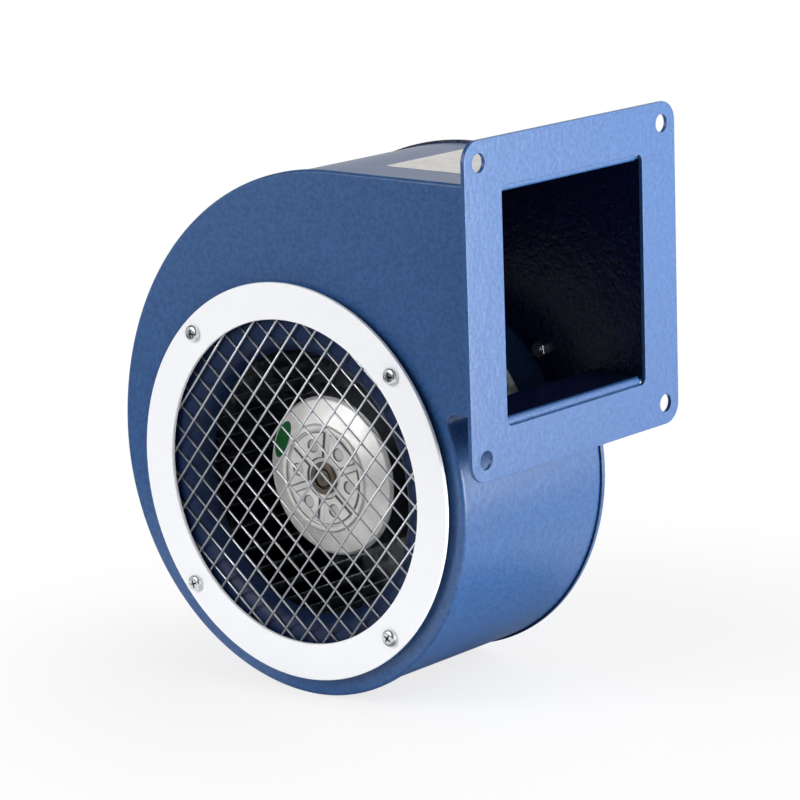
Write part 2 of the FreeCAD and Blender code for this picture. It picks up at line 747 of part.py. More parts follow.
pieces = {
    "front_side_plate": front_side_plate(),
    "rear_side_plate": rear_side_plate(),
    "scroll_wrap": scroll_wrap(),
    "outlet_flange": outlet_flange(),
    "inlet_nozzle": inlet_nozzle(),
    "guard_front_wires": guard_wires(wire_turn, front_wire_pitch, front_wire_shift, ring_back + wire_radius),
    "guard_rear_wires": guard_wires(wire_turn - 90, rear_wire_pitch, rear_wire_shift,
                                    nozzle_front - wire_radius),
    "guard_ring": guard_ring(),
    "guard_screws": guard_screws(),
    "motor_plate": motor_plate(),
    "motor_plate_screws": motor_plate_screws(),
    "motor_plate_nuts": motor_plate_nuts(),
    "stator_flange": stator_flange(),
    "stator_screws": stator_screws(),
    "cable_grommet": cable_grommet(),
    "stator_stack": stator_stack(),
    "stator_windings": stator_windings(),
    "front_bearing_outer": bearing_outer(front_bearing_y),
    "front_bearing_inner": bearing_inner(front_bearing_y),
    "rear_bearing_outer": bearing_outer(rear_bearing_y),
    "rear_bearing_inner": bearing_inner(rear_bearing_y),
    "rating_label": rating_label(),
    "shaft": shaft(),
    "rotor_hub": rotor_hub(),
    "rotor_cap": rotor_cap(),
    "rotor_shell": rotor_shell(),
    "rotor_core": rotor_core(),
    "impeller_back_plate": impeller_back_plate(),
    "impeller_front_ring": impeller_front_ring(),
    "impeller_blades": impeller_blades(),
    "impeller_rivets": impeller_rivets(),
    "inspection_sticker": inspection_sticker(),
}

os.makedirs("parts", exist_ok=True)
for name, shape in pieces.items():
    shape.exportStep("parts/" + name + ".step")
    print(name, "valid" if shape.isValid() else "NOT VALID", len(shape.Solids), round(shape.Volume))
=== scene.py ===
"""Visual model of a centrifugal fan: powder-coated scroll casing, guarded inlet and external rotor motor.

Sizes are written in millimetres. Meshes are built in millimetres and brought to metres when they
become objects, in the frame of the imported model: +X leaves the outlet, +Z is up and the shaft lies along Y.
"""

import logging
import math
from dataclasses import dataclass
from enum import Enum
from typing import Callable, Sequence

import bmesh
import bpy
from mathutils import Matrix, Vector
from mathutils.geometry import delaunay_2d_cdt


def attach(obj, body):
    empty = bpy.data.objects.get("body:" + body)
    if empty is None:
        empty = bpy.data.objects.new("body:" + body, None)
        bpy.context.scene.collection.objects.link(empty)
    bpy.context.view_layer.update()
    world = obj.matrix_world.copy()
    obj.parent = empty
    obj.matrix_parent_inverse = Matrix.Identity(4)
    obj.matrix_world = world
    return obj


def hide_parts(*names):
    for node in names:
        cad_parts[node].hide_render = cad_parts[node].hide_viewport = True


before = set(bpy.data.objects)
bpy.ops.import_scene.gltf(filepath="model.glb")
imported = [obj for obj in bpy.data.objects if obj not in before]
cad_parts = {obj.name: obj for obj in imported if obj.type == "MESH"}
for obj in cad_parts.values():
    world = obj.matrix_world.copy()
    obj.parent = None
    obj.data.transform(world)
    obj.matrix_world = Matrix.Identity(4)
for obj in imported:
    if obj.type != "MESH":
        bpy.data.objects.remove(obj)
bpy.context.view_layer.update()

MM = 0.001
FULL_TURN = 2 * math.pi
# Length of one wave of a wave texture at scale 1
WAVE_PERIOD = FULL_TURN / 20
# The shaft, and the middle of the guard a little above it, in x and z
SHAFT = (-120.0, -93.5)
GUARD = (-120.0, -91.0)
log = logging.getLogger("centrifugal_fan")

Pair = tuple[float, float]
Triple = tuple[float, float, float]
Ring = list[bmesh.types.BMVert]
Shape = Callable[[float], list[Pair]]


class Body(Enum):
    """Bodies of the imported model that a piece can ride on."""

    HOUSING = "housing"
    ROTOR = "rotor"


class Side(Enum):
    """Sides of the casing, with the direction along Y that leaves it."""

    INLET = -1
    MOTOR = 1


# Colours, nodes and meshes


def linear(code: str) -> tuple[float, float, float, float]:
    """Turns an sRGB hex colour into linear light.

    Args:
        code: colour such as "#3C5C98".

    Returns:
        Red, green, blue and an alpha of 1.
    """
    parts = [int(code[i:i + 2], 16) / 255 for i in (1, 3, 5)]
    red, green, blue = (p / 12.92 if p <= 0.04045 else ((p + 0.055) / 1.055) ** 2.4 for p in parts)
    return red, green, blue, 1.0


def feed(tree: bpy.types.NodeTree, node: bpy.types.Node, inputs: dict[str | int, object]) -> None:
    """Fills a node's inputs with values or links.

    Args:
        tree: node tree that holds the node.
        node: the node.
        inputs: value or output socket for each input, by its name or number.
    """
    for key, value in inputs.items():
        if isinstance(value, bpy.types.NodeSocket):
            tree.links.new(value, node.inputs[key])
        else:
            node.inputs[key].default_value = value


def add_node(tree: bpy.types.NodeTree, kind: str, inputs: dict[str | int, object] | None = None,
             **settings: object) -> bpy.types.Node:
    """Adds a node with its settings and links.

    Args:
        tree: node tree that gets the node.
        kind: the node's type name.
        inputs: value or output socket for each input, by its name or number.
        settings: properties of the node itself.

    Returns:
        The new node.
    """
    node = tree.nodes.new(kind)
    for name, value in settings.items():
        setattr(node, name, value)
    feed(tree, node, inputs or {})
    return node


def arc(centre: Pair, radius: float, start: float, end: float, steps: int) -> list[Pair]:
    """Points on an arc in a plane, both ends included; angles in degrees."""
    angles = [math.radians(start + (end - start) * i / steps) for i in range(steps + 1)]
    return [(centre[0] + radius * math.cos(a), centre[1] + radius * math.sin(a)) for a in angles]


def circle(centre: Pair, radius: float, steps: int) -> list[Pair]:
    """Points of a closed circle in a plane."""
    return arc(centre, radius, 0.0, 360.0, steps)[:-1]


def rounded(corners: Sequence[tuple], closed: bool = True, steps: int = 6) -> list[Pair]:
    """Rounds the corners of a line in a plane.

    Args:
        corners: points (u, v), or (u, v, radius) where the corner is rounded.
        closed: joins the last point to the first.
        steps: straight pieces in each rounding.

    Returns:
        Points along the rounded line.
    """
    points: list[Pair] = []
    count = len(corners)
    for i, corner in enumerate(corners):
        here = Vector(corner[:2])
        radius = corner[2] if len(corner) > 2 else 0.0
        if radius == 0.0 or (not closed and i in (0, count - 1)):
            points.append(tuple(here))
            continue
        back = (Vector(corners[i - 1][:2]) - here).normalized()
        on = (Vector(corners[(i + 1) % count][:2]) - here).normalized()
        half = back.angle(on) / 2
        middle = here + (back + on).normalized() * (radius / math.sin(half))
        first, last = here + back * (radius / math.tan(half)), here + on * (radius / math.tan(half))
        start = math.atan2(*(first - middle).yx)
        sweep = math.atan2(*(last - middle).yx) - start
        sweep -= FULL_TURN * round(sweep / FULL_TURN)
        points += arc(tuple(middle), radius, math.degrees(start), math.degrees(start + sweep), steps)
    return points


def skin(bm: bmesh.types.BMesh, rings: Sequence[Ring], around: bool = True) -> None:
    """Joins neighbouring rings of vertices with faces; a ring of one repeated vertex is a pole.

    Args:
        bm: mesh that gets the faces.
        rings: rings with the same number of vertices.
        around: joins each ring's last vertex to its first.
    """
    for low, high in zip(rings, rings[1:]):
        for i in range(len(low) - (0 if around else 1)):
            j = (i + 1) % len(low)
            corners = list(dict.fromkeys((low[i], low[j], high[j], high[i])))
            if len(corners) > 2:
                bm.faces.new(corners)


def lathe(bm: bmesh.types.BMesh, profile: Sequence[Pair], centre: Pair = SHAFT, steps: int = 160,
          closed: bool = True) -> None:
    """Turns a profile about an axis along Y.

    Args:
        bm: mesh that gets the surface.
        profile: points (radius, y).
        centre: the axis in x and z.
        steps: parts of a full turn.
        closed: joins the profile's last point to its first.
    """
    rings = []
    for radius, y in profile:
        if radius < 1e-6:
            rings.append([bm.verts.new((centre[0], y, centre[1]))] * steps)
        else:
            rings.append([bm.verts.new((x, y, z)) for x, z in circle(centre, radius, steps)])
    skin(bm, rings + rings[:1] if closed else rings)


def round_shape(radius: float, centre: Pair = (0.0, 0.0), steps: int = 24) -> Shape:
    """Circle that can be drawn larger or smaller by a distance."""
    return lambda growth: circle(centre, radius + growth, steps)


def slab_shape(half_u: float, half_v: float, corner: float, centre: Pair = (0.0, 0.0)) -> Shape:
    """Rounded rectangle that can be drawn larger or smaller by a distance.

    Args:
        half_u: half its length.
        half_v: half its height.
        corner: radius of its corners.
        centre: its middle in the plane.

    Returns:
        A function that gives its points for a distance.
    """
    def points(growth: float) -> list[Pair]:
        """Points of the rectangle, grown by a distance on every side."""
        u, v, radius = half_u + growth, half_v + growth, corner + growth
        loop = rounded([(-u, -v, radius), (u, -v, radius), (u, v, radius), (-u, v, radius)], steps=8)
        return [(centre[0] + u, centre[1] + v) for u, v in loop]
    return points


def fill_between(bm: bmesh.types.BMesh, plan: Sequence[Sequence[Pair]], rims: Sequence[Ring]) -> None:
    """Fills the flat area between an outline and its holes, which are convex, with triangles.

    Args:
        bm: mesh that gets the triangles.
        plan: outline and holes, drawn in the plane.
        rims: the vertices of each of them.
    """
    verts = [vert for rim in rims for vert in rim]
    borders: list[tuple[int, int]] = []
    for loop in plan:
        start = len(borders)
        borders += [(start + i, start + (i + 1) % len(loop)) for i in range(len(loop))]
    points = [Vector(point) for loop in plan for point in loop]
    owner = [i for i, loop in enumerate(plan) for _ in loop]
    inside_outline, tolerance = 1, 1e-6
    _, _, triangles, sources, _, _ = delaunay_2d_cdt(points, borders, [], inside_outline, tolerance)
    for triangle in triangles:
        corners = [sources[i][0] for i in triangle]
        owners = {owner[i] for i in corners}
        # A triangle with all its corners on one hole lies in that hole
        if len(owners) > 1 or owners == {0}:
            bm.faces.new([verts[i] for i in corners])


def perforated(bm: bmesh.types.BMesh, shapes: Sequence[Shape], near: float, far: float,
               place: Callable[[float, float, float], Triple], edge: float = 0.0) -> None:
    """Flat sheet with holes between two depths, its edges rounded.

    Args:
        bm: mesh that gets the sheet.
        shapes: outline first, then each hole.
        near: depth of one face.
        far: depth of the other face.
        place: gives the point in space for (u, v, depth).
        edge: radius of the rounded edges.
    """
    section = rounded([(edge, near), (0.0, near, edge), (0.0, far, edge), (edge, far)],
                      closed=False, steps=3)[1:-1]
    # The edge's rounding makes the outline smaller and the holes larger
    ways = [-1] + [1] * (len(shapes) - 1)
    stacks = []
    for shape, way in zip(shapes, ways):
        stacks.append([[bm.verts.new(place(u, v, depth)) for u, v in shape(way * inset)]
                       for inset, depth in section])
        skin(bm, stacks[-1])
    plan = [shape(way * edge) for shape, way in zip(shapes, ways)]
    for end in (0, -1):
        fill_between(bm, plan, [stack[end] for stack in stacks])


def across_shaft(u: float, v: float, depth: float) -> Triple:
    """Places a sheet that stands across the shaft."""
    return u, depth, v


def across_duct(u: float, v: float, depth: float) -> Triple:
    """Places a sheet that stands across the duct."""
    return depth, u, v


def lying_flat(u: float, v: float, depth: float) -> Triple:
    """Places a sheet that lies flat."""
    return u, v, depth


def settle(piece: bpy.types.Object) -> bpy.types.Object:
    """Turns a piece's live modifiers into its plain mesh and removes them.

    Args:
        piece: object with modifiers.

    Returns:
        The same object without them.
    """
    depsgraph = bpy.context.evaluated_depsgraph_get()
    made = bpy.data.meshes.new_from_object(piece.evaluated_get(depsgraph), depsgraph=depsgraph)
    piece.modifiers.clear()
    piece.data = made
    made.name = piece.name
    return piece


def smooth(piece: bpy.types.Object, crease: float = 32.0, bevel: float = 0.0) -> bpy.types.Object:
    """Shades a mesh smooth between its creases, which can first be rounded.

    Args:
        piece: object whose mesh is worked on.
        crease: angle in degrees above which an edge stays sharp.
        bevel: width of the rounding of creases in millimetres.

    Returns:
        The same object with its plain mesh.
    """
    if bevel:
        rounding = piece.modifiers.new("edge rounding", "BEVEL")
        rounding.width = bevel * MM
        rounding.segments = 3
        rounding.limit_method = "ANGLE"
        rounding.angle_limit = math.radians(crease)
        rounding.harden_normals = False
        settle(piece)
    piece.data.shade_smooth()
    piece.data.set_sharp_from_angle(angle=math.radians(crease))
    weighting = piece.modifiers.new("face weighting", "WEIGHTED_NORMAL")
    weighting.keep_sharp = True
    return settle(piece)


def as_object(bm: bmesh.types.BMesh, name: str, crease: float = 32.0, bevel: float = 0.0) -> bpy.types.Object:
    """Makes an object from a mesh drawn in millimetres.

    Args:
        bm: the drawn mesh, which is freed.
        name: name of the piece.
        crease: angle in degrees above which an edge stays sharp.
        bevel: width of the rounding of creases in millimetres.

    Returns:
        The object, at the origin, with its mesh in metres.
    """
    bmesh.ops.remove_doubles(bm, verts=bm.verts, dist=1e-4)
    bmesh.ops.recalc_face_normals(bm, faces=bm.faces)
    mesh = bpy.data.meshes.new(name)
    bm.to_mesh(mesh)
    bm.free()
    mesh.transform(Matrix.Scale(MM, 4))
    piece = bpy.data.objects.new(name, mesh)
    bpy.context.scene.collection.objects.link(piece)
    return smooth(piece, crease, bevel)


def smooth_copy(node: str, name: str, bevel: float = 0.0) -> bpy.types.Object:
    """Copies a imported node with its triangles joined, so that its round faces shade smoothly.

    Args:
        node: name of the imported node.
        name: name of the piece.
        bevel: width of the rounding of creases in millimetres.

    Returns:
        The new object.
    """
    bm = bmesh.new()
    bm.from_mesh(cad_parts[node].data)
    bmesh.ops.scale(bm, vec=(1 / MM,) * 3, verts=bm.verts)
    bmesh.ops.remove_doubles(bm, verts=bm.verts, dist=1e-3)
    bmesh.ops.dissolve_limit(bm, angle_limit=math.radians(0.5), verts=bm.verts, edges=bm.edges)
    return as_object(bm, name, bevel=bevel)


# Geometry Nodes trees for what repeats


def new_tree(name: str, sockets: Sequence[tuple[str, str]]) -> tuple[bpy.types.NodeTree, dict]:
    """Starts a Geometry Nodes tree with named inputs.

    Args:
        name: name of the tree.
        sockets: name and kind of each input, such as ("Count", "Int").

    Returns:
        The tree and its input sockets by name.
    """
    tree = bpy.data.node_groups.new(name, "GeometryNodeTree")
    for label, kind in sockets:
        tree.interface.new_socket(name=label, in_out="INPUT", socket_type="NodeSocket" + kind)
    tree.interface.new_socket(name="Geometry", in_out="OUTPUT", socket_type="NodeSocketGeometry")
    entry = add_node(tree, "NodeGroupInput")
    return tree, {label: entry.outputs[label] for label, _ in sockets}


def close_tree(tree: bpy.types.NodeTree, geometry: bpy.types.NodeSocket,
               material: bpy.types.NodeSocket) -> None:
    """Ends a tree with real geometry that carries its material.

    Args:
        tree: the Geometry Nodes tree.
        geometry: output with the instances.
        material: the tree's material input.
    """
    real = add_node(tree, "GeometryNodeRealizeInstances", {"Geometry": geometry})
    dressed = add_node(tree, "GeometryNodeSetMaterial",
                       {"Geometry": real.outputs["Geometry"], "Material": material})
    add_node(tree, "NodeGroupOutput", {"Geometry": dressed.outputs["Geometry"]})


def run_tree(tree: bpy.types.NodeTree, name: str, values: dict) -> bpy.types.Object:
    """Runs a tree once and keeps what it makes as a plain mesh.

    Args:
        tree: the Geometry Nodes tree.
        name: name of the piece.
        values: value of each named input.

    Returns:
        The object with the tree's result as its mesh.
    """
    piece = bpy.data.objects.new(name, bpy.data.meshes.new(name))
    bpy.context.scene.collection.objects.link(piece)
    modifier = piece.modifiers.new(name, "NODES")
    modifier.node_group = tree
    for item in tree.interface.items_tree:
        if item.in_out == "INPUT" and item.name in values:
            modifier[item.identifier] = values[item.name]
    return settle(piece)


def copies_tree() -> bpy.types.NodeTree:
    """Tree that spaces copies of a piece round an axis along Y, each turned outwards with some spin.

    Returns:
        The Geometry Nodes tree.
    """
    tree, given = new_tree("Copies round an axis", [
        ("Piece", "Object"), ("Count", "Int"), ("Circle", "Float"), ("Turn", "Float"), ("Centre", "Vector"),
        ("Spin", "Float"), ("Seed", "Int"), ("Material", "Material")])
    index = add_node(tree, "GeometryNodeInputIndex")
    share = add_node(tree, "ShaderNodeMath", {0: index.outputs[0], 1: given["Count"]}, operation="DIVIDE")
    angle = add_node(tree, "ShaderNodeMath", {0: share.outputs[0], 1: FULL_TURN, 2: given["Turn"]},
                     operation="MULTIPLY_ADD")
    cosine = add_node(tree, "ShaderNodeMath", {0: angle.outputs[0]}, operation="COSINE")
    sine = add_node(tree, "ShaderNodeMath", {0: angle.outputs[0]}, operation="SINE")
    outwards = add_node(tree, "ShaderNodeCombineXYZ", {"X": cosine.outputs[0], "Z": sine.outputs[0]})
    spot = add_node(tree, "ShaderNodeVectorMath",
                    {0: outwards.outputs[0], 1: given["Circle"], 2: given["Centre"]}, operation="MULTIPLY_ADD")
    points = add_node(tree, "GeometryNodePoints", {"Count": given["Count"], "Position": spot.outputs[0]})
    spin = add_node(tree, "FunctionNodeRandomValue", {2: 0.0, 3: given["Spin"], "Seed": given["Seed"]},
                    data_type="FLOAT")
    turned = add_node(tree, "ShaderNodeMath", {0: spin.outputs[1], 1: angle.outputs[0]}, operation="SUBTRACT")
    rotation = add_node(tree, "ShaderNodeCombineXYZ", {"Y": turned.outputs[0]})
    source = add_node(tree, "GeometryNodeObjectInfo", {"Object": given["Piece"]}, transform_space="ORIGINAL")
    copies = add_node(tree, "GeometryNodeInstanceOnPoints", {
        "Points": points.outputs[0], "Instance": source.outputs["Geometry"], "Rotation": rotation.outputs[0]})
    close_tree(tree, copies.outputs[0], given["Material"])
    return tree


def wires_tree() -> bpy.types.NodeTree:
    """Tree that lays parallel wires across a round opening, each cut off at the opening's edge.

    Returns:
        The Geometry Nodes tree.
    """
    tree, given = new_tree("Wires across an opening", [
        ("Count", "Int"), ("Pitch", "Float"), ("Shift", "Float"), ("Opening Radius", "Float"),
        ("Wire Radius", "Float"), ("Turn", "Float"), ("Centre", "Vector"), ("Material", "Material")])
    index = add_node(tree, "GeometryNodeInputIndex")
    last = add_node(tree, "ShaderNodeMath", {0: given["Count"], 1: 1.0}, operation="SUBTRACT")
    middle = add_node(tree, "ShaderNodeMath", {0: last.outputs[0], 1: -0.5, 2: index.outputs[0]},
                      operation="MULTIPLY_ADD")
    offset = add_node(tree, "ShaderNodeMath",
                      {0: middle.outputs[0], 1: given["Pitch"], 2: given["Shift"]}, operation="MULTIPLY_ADD")
    reach = add_node(tree, "ShaderNodeMath", {0: given["Opening Radius"], 1: 2.0}, operation="POWER")
    square = add_node(tree, "ShaderNodeMath", {0: offset.outputs[0], 1: 2.0}, operation="POWER")
    left = add_node(tree, "ShaderNodeMath", {0: reach.outputs[0], 1: square.outputs[0]}, operation="SUBTRACT")
    half = add_node(tree, "ShaderNodeMath", {0: left.outputs[0]}, operation="SQRT")
    length = add_node(tree, "ShaderNodeMath", {0: half.outputs[0], 1: 2.0}, operation="MULTIPLY")
    spot = add_node(tree, "ShaderNodeCombineXYZ", {"Z": offset.outputs[0]})
    points = add_node(tree, "GeometryNodePoints", {"Count": given["Count"], "Position": spot.outputs[0]})
    rod = add_node(tree, "GeometryNodeMeshCylinder",
                   {"Vertices": 12, "Radius": given["Wire Radius"], "Depth": 1.0})
    soft = add_node(tree, "GeometryNodeSetShadeSmooth",
                    {"Geometry": rod.outputs["Mesh"], "Selection": rod.outputs["Side"]})
    size = add_node(tree, "ShaderNodeCombineXYZ", {"X": 1.0, "Y": 1.0, "Z": length.outputs[0]})
    wires = add_node(tree, "GeometryNodeInstanceOnPoints", {
        "Points": points.outputs[0], "Instance": soft.outputs[0], "Rotation": (0.0, math.pi / 2, 0.0),
        "Scale": size.outputs[0]})
    against = add_node(tree, "ShaderNodeMath", {0: given["Turn"], 1: -1.0}, operation="MULTIPLY")
    rotation = add_node(tree, "ShaderNodeCombineXYZ", {"Y": against.outputs[0]})
    laid = add_node(tree, "GeometryNodeTransform", {
        "Geometry": wires.outputs[0], "Translation": given["Centre"], "Rotation": rotation.outputs[0]})
    close_tree(tree, laid.outputs[0], given["Material"])
    return tree


def blades_tree() -> bpy.types.NodeTree:
    """Tree that bends one blade along an arc and spaces its copies round the impeller.

    Returns:
        The Geometry Nodes tree.
    """
    tree, given = new_tree("Blade cage", [
        ("Count", "Int"), ("Inner Radius", "Float"), ("Bend Radius", "Float"), ("Bend", "Float"),
        ("Sheet", "Float"), ("Length", "Float"), ("Centre", "Vector"), ("Material", "Material")])
    sweep = add_node(tree, "ShaderNodeMath", {0: given["Bend"], 1: -1.0}, operation="MULTIPLY")
    line = add_node(tree, "GeometryNodeCurveArc", {
        "Resolution": 12, "Radius": given["Bend Radius"], "Start Angle": math.pi / 2,
        "Sweep Angle": sweep.outputs[0]})
    drop = add_node(tree, "ShaderNodeMath", {0: given["Bend Radius"], 1: -1.0}, operation="MULTIPLY")
    shift = add_node(tree, "ShaderNodeCombineXYZ", {"X": given["Inner Radius"], "Y": drop.outputs[0]})
    moved = add_node(tree, "GeometryNodeTransform",
                     {"Geometry": line.outputs["Curve"], "Translation": shift.outputs[0]})
    section = add_node(tree, "GeometryNodeCurvePrimitiveQuadrilateral",
                       {"Width": given["Sheet"], "Height": given["Length"]})
    upright = add_node(tree, "GeometryNodeSetCurveNormal", {"Curve": moved.outputs[0]}, mode="Z_UP")
    blade = add_node(tree, "GeometryNodeCurveToMesh", {
        "Curve": upright.outputs[0], "Profile Curve": section.outputs["Curve"], "Fill Caps": True})
    along = add_node(tree, "GeometryNodeTransform",
                     {"Geometry": blade.outputs[0], "Rotation": (math.pi / 2, 0.0, 0.0)})
    index = add_node(tree, "GeometryNodeInputIndex")
    share = add_node(tree, "ShaderNodeMath", {0: index.outputs[0], 1: given["Count"]}, operation="DIVIDE")
    angle = add_node(tree, "ShaderNodeMath", {0: share.outputs[0], 1: FULL_TURN}, operation="MULTIPLY")
    rotation = add_node(tree, "ShaderNodeCombineXYZ", {"Y": angle.outputs[0]})
    points = add_node(tree, "GeometryNodePoints", {"Count": given["Count"], "Position": given["Centre"]})
    cage = add_node(tree, "GeometryNodeInstanceOnPoints", {
        "Points": points.outputs[0], "Instance": along.outputs[0], "Rotation": rotation.outputs[0]})
    close_tree(tree, cage.outputs[0], given["Material"])
    return tree


# Finishes


@dataclass(frozen=True)
class Finish:
    """What every finish has: its name, its colour and how rough its surface is."""

    name: str
    colour: str
    roughness: float

    def material(self) -> bpy.types.Material:
        """Builds the material on its first use and gives the same one back after that.

        Returns:
            The Blender material.
        """
        made = bpy.data.materials.get(self.name)
        if made is None:
            made = bpy.data.materials.new(self.name)
            made.use_nodes = True
            made.node_tree.nodes.clear()
            place = add_node(made.node_tree, "ShaderNodeTexCoord").outputs["Object"]
            shader = add_node(made.node_tree, "ShaderNodeBsdfPrincipled",
                              {"Base Color": linear(self.colour), "Roughness": self.roughness})
            add_node(made.node_tree, "ShaderNodeOutputMaterial", {"Surface": shader.outputs[0]})
            self.work(made.node_tree, shader, place)
        return made

    def work(self, tree: bpy.types.NodeTree, shader: bpy.types.Node, place: bpy.types.NodeSocket) -> None:
        """Adds what this kind of finish has beyond colour and roughness."""


@dataclass(frozen=True)
class PowderCoat(Finish):
    """Polyester powder baked on sheet steel: glossy, with fine orange peel that breaks up highlights."""

    shade: str = "#000000"
    peel: float = 1.3
    peel_height: float = 0.06
    sag: float = 9.0
    gloss: float = 0.5

    def work(self, tree: bpy.types.NodeTree, shader: bpy.types.Node, place: bpy.types.NodeSocket) -> None:
        """Adds orange peel, a long soft waviness and slight clouding of the colour.

        Args:
            tree: the material's node tree.
            shader: its Principled shader.
            place: Object coordinates in metres.
        """
        peel = add_node(tree, "ShaderNodeTexNoise", {
            "Vector": place, "Scale": 1 / (self.peel * MM), "Detail": 2.0, "Roughness": 0.45})
        sag = add_node(tree, "ShaderNodeTexNoise", {
            "Vector": place, "Scale": 1 / (self.sag * MM), "Detail": 1.0})
        wave = add_node(tree, "ShaderNodeBump", {
            "Height": sag.outputs[0], "Strength": 1.0, "Distance": self.peel_height * MM})
        grain = add_node(tree, "ShaderNodeBump", {
            "Height": peel.outputs[0], "Strength": 1.0, "Distance": self.peel_height * MM,
            "Normal": wave.outputs[0]})
        spread = add_node(tree, "ShaderNodeMapRange", {
            "Value": peel.outputs[0], "From Min": 0.35, "From Max": 0.65})
        tint = add_node(tree, "ShaderNodeMix", {
            0: spread.outputs[0], 6: linear(self.shade), 7: linear(self.colour)}, data_type="RGBA")
        feed(tree, shader, {"Base Color": tint.outputs[2], "Normal": grain.outputs[0],
                            "Specular IOR Level": self.gloss})


@dataclass(frozen=True)
class GalvanisedSheet(Finish):
    """Hot-dip galvanised steel strip: grey metal with small spangles of differing gloss."""

    spangle: float = 5.0
    shade: str = "#7F868A"
    rolling: float = 0.8

    def work(self, tree: bpy.types.NodeTree, shader: bpy.types.Node, place: bpy.types.NodeSocket) -> None:
        """Adds spangles and the faint grain of rolling.

        Args:
            tree: the material's node tree.
            shader: its Principled shader.
            place: Object coordinates in metres.
        """
        cells = add_node(tree, "ShaderNodeTexVoronoi", {"Vector": place, "Scale": 1 / (self.spangle * MM)})
        bright = add_node(tree, "ShaderNodeSeparateColor", {"Color": cells.outputs["Color"]})
        tint = add_node(tree, "ShaderNodeMix", {
            0: bright.outputs[0], 6: linear(self.shade), 7: linear(self.colour)}, data_type="RGBA")
        dull = add_node(tree, "ShaderNodeMapRange", {
            "Value": bright.outputs[1], "To Min": self.roughness - 0.08, "To Max": self.roughness + 0.1})
        fine = add_node(tree, "ShaderNodeTexNoise", {
            "Vector": place, "Scale": 1 / (self.rolling * MM), "Detail": 2.0})
        grain = add_node(tree, "ShaderNodeBump", {
            "Height": fine.outputs[0], "Strength": 1.0, "Distance": 0.015 * MM})
        feed(tree, shader, {"Base Color": tint.outputs[2], "Roughness": dull.outputs[0],
                            "Normal": grain.outputs[0], "Metallic": 1.0})


@dataclass(frozen=True)
class PlatedMetal(Finish):
    """Bright zinc or polished steel: nearly clean reflections with faint handling marks."""

    marks: float = 1.5
    # Near-black colour painted into marked hollows as painted shade
    recess_shade: str = "#1C1C1E"

    def work(self, tree: bpy.types.NodeTree, shader: bpy.types.Node, place: bpy.types.NodeSocket) -> None:
        """Adds faint cloudy marks to the gloss, and paints shade where the mesh marks a hollow, such as the
        floor of a screw's cross recess.

        Args:
            tree: the material's node tree.
            shader: its Principled shader.
            place: Object coordinates in metres.
        """
        cloud = add_node(tree, "ShaderNodeTexNoise", {
            "Vector": place, "Scale": 1 / (self.marks * MM), "Detail": 3.0})
        dull = add_node(tree, "ShaderNodeMapRange", {
            "Value": cloud.outputs[0], "From Min": 0.3, "From Max": 0.7,
            "To Min": self.roughness * 0.7, "To Max": self.roughness * 1.4})
        recess = add_node(tree, "ShaderNodeAttribute", attribute_name="hollow")
        tint = add_node(tree, "ShaderNodeMix", {
            0: recess.outputs["Fac"], 6: linear(self.colour), 7: linear(self.recess_shade)}, data_type="RGBA")
        feed(tree, shader, {"Base Color": tint.outputs[2], "Roughness": dull.outputs[0], "Metallic": 1.0})


@dataclass(frozen=True)
class CastMetal(Finish):
    """Die-cast aluminium, blasted: a pale silky grey with a fine skin and darker flow marks."""

    shade: str = "#9A9895"
    # Colour painted along the cap's relief edges and into its dimples as painted shade
    groove_shade: str = "#38373A"
    grain: float = 0.7
    flow: float = 14.0

    def work(self, tree: bpy.types.NodeTree, shader: bpy.types.Node, place: bpy.types.NodeSocket) -> None:
        """Adds the cast skin's grain, its cloudy flow marks and painted shade in its hollows.

        Args:
            tree: the material's node tree.
            shader: its Principled shader.
            place: Object coordinates in metres.
        """
        blasted = add_node(tree, "ShaderNodeTexNoise", {
            "Vector": place, "Scale": 1 / (self.grain * MM), "Detail": 3.0})
        flow = add_node(tree, "ShaderNodeTexNoise", {
            "Vector": place, "Scale": 1 / (self.flow * MM), "Detail": 4.0, "Roughness": 0.6})
        cloud = add_node(tree, "ShaderNodeMapRange", {
            "Value": flow.outputs[0], "From Min": 0.3, "From Max": 0.65})
        tint = add_node(tree, "ShaderNodeMix", {
            0: cloud.outputs[0], 6: linear(self.shade), 7: linear(self.colour)}, data_type="RGBA")
        # The hollow attribute mixes in the painted shade
        hollow = add_node(tree, "ShaderNodeAttribute", attribute_name="hollow")
        tint_with_shade = add_node(tree, "ShaderNodeMix", {
            0: hollow.outputs["Fac"], 6: tint.outputs[2], 7: linear(self.groove_shade)}, data_type="RGBA")
        dull = add_node(tree, "ShaderNodeMapRange", {
            "Value": blasted.outputs[0], "To Min": self.roughness - 0.07, "To Max": self.roughness + 0.07})
        grain = add_node(tree, "ShaderNodeBump", {
            "Height": blasted.outputs[0], "Strength": 1.0, "Distance": 0.04 * MM})
        # A cast skin isn't a clean metal mirror: part of it scatters light like a pale stone
        feed(tree, shader, {"Base Color": tint_with_shade.outputs[2], "Roughness": dull.outputs[0],
                            "Normal": grain.outputs[0], "Metallic": 0.55})


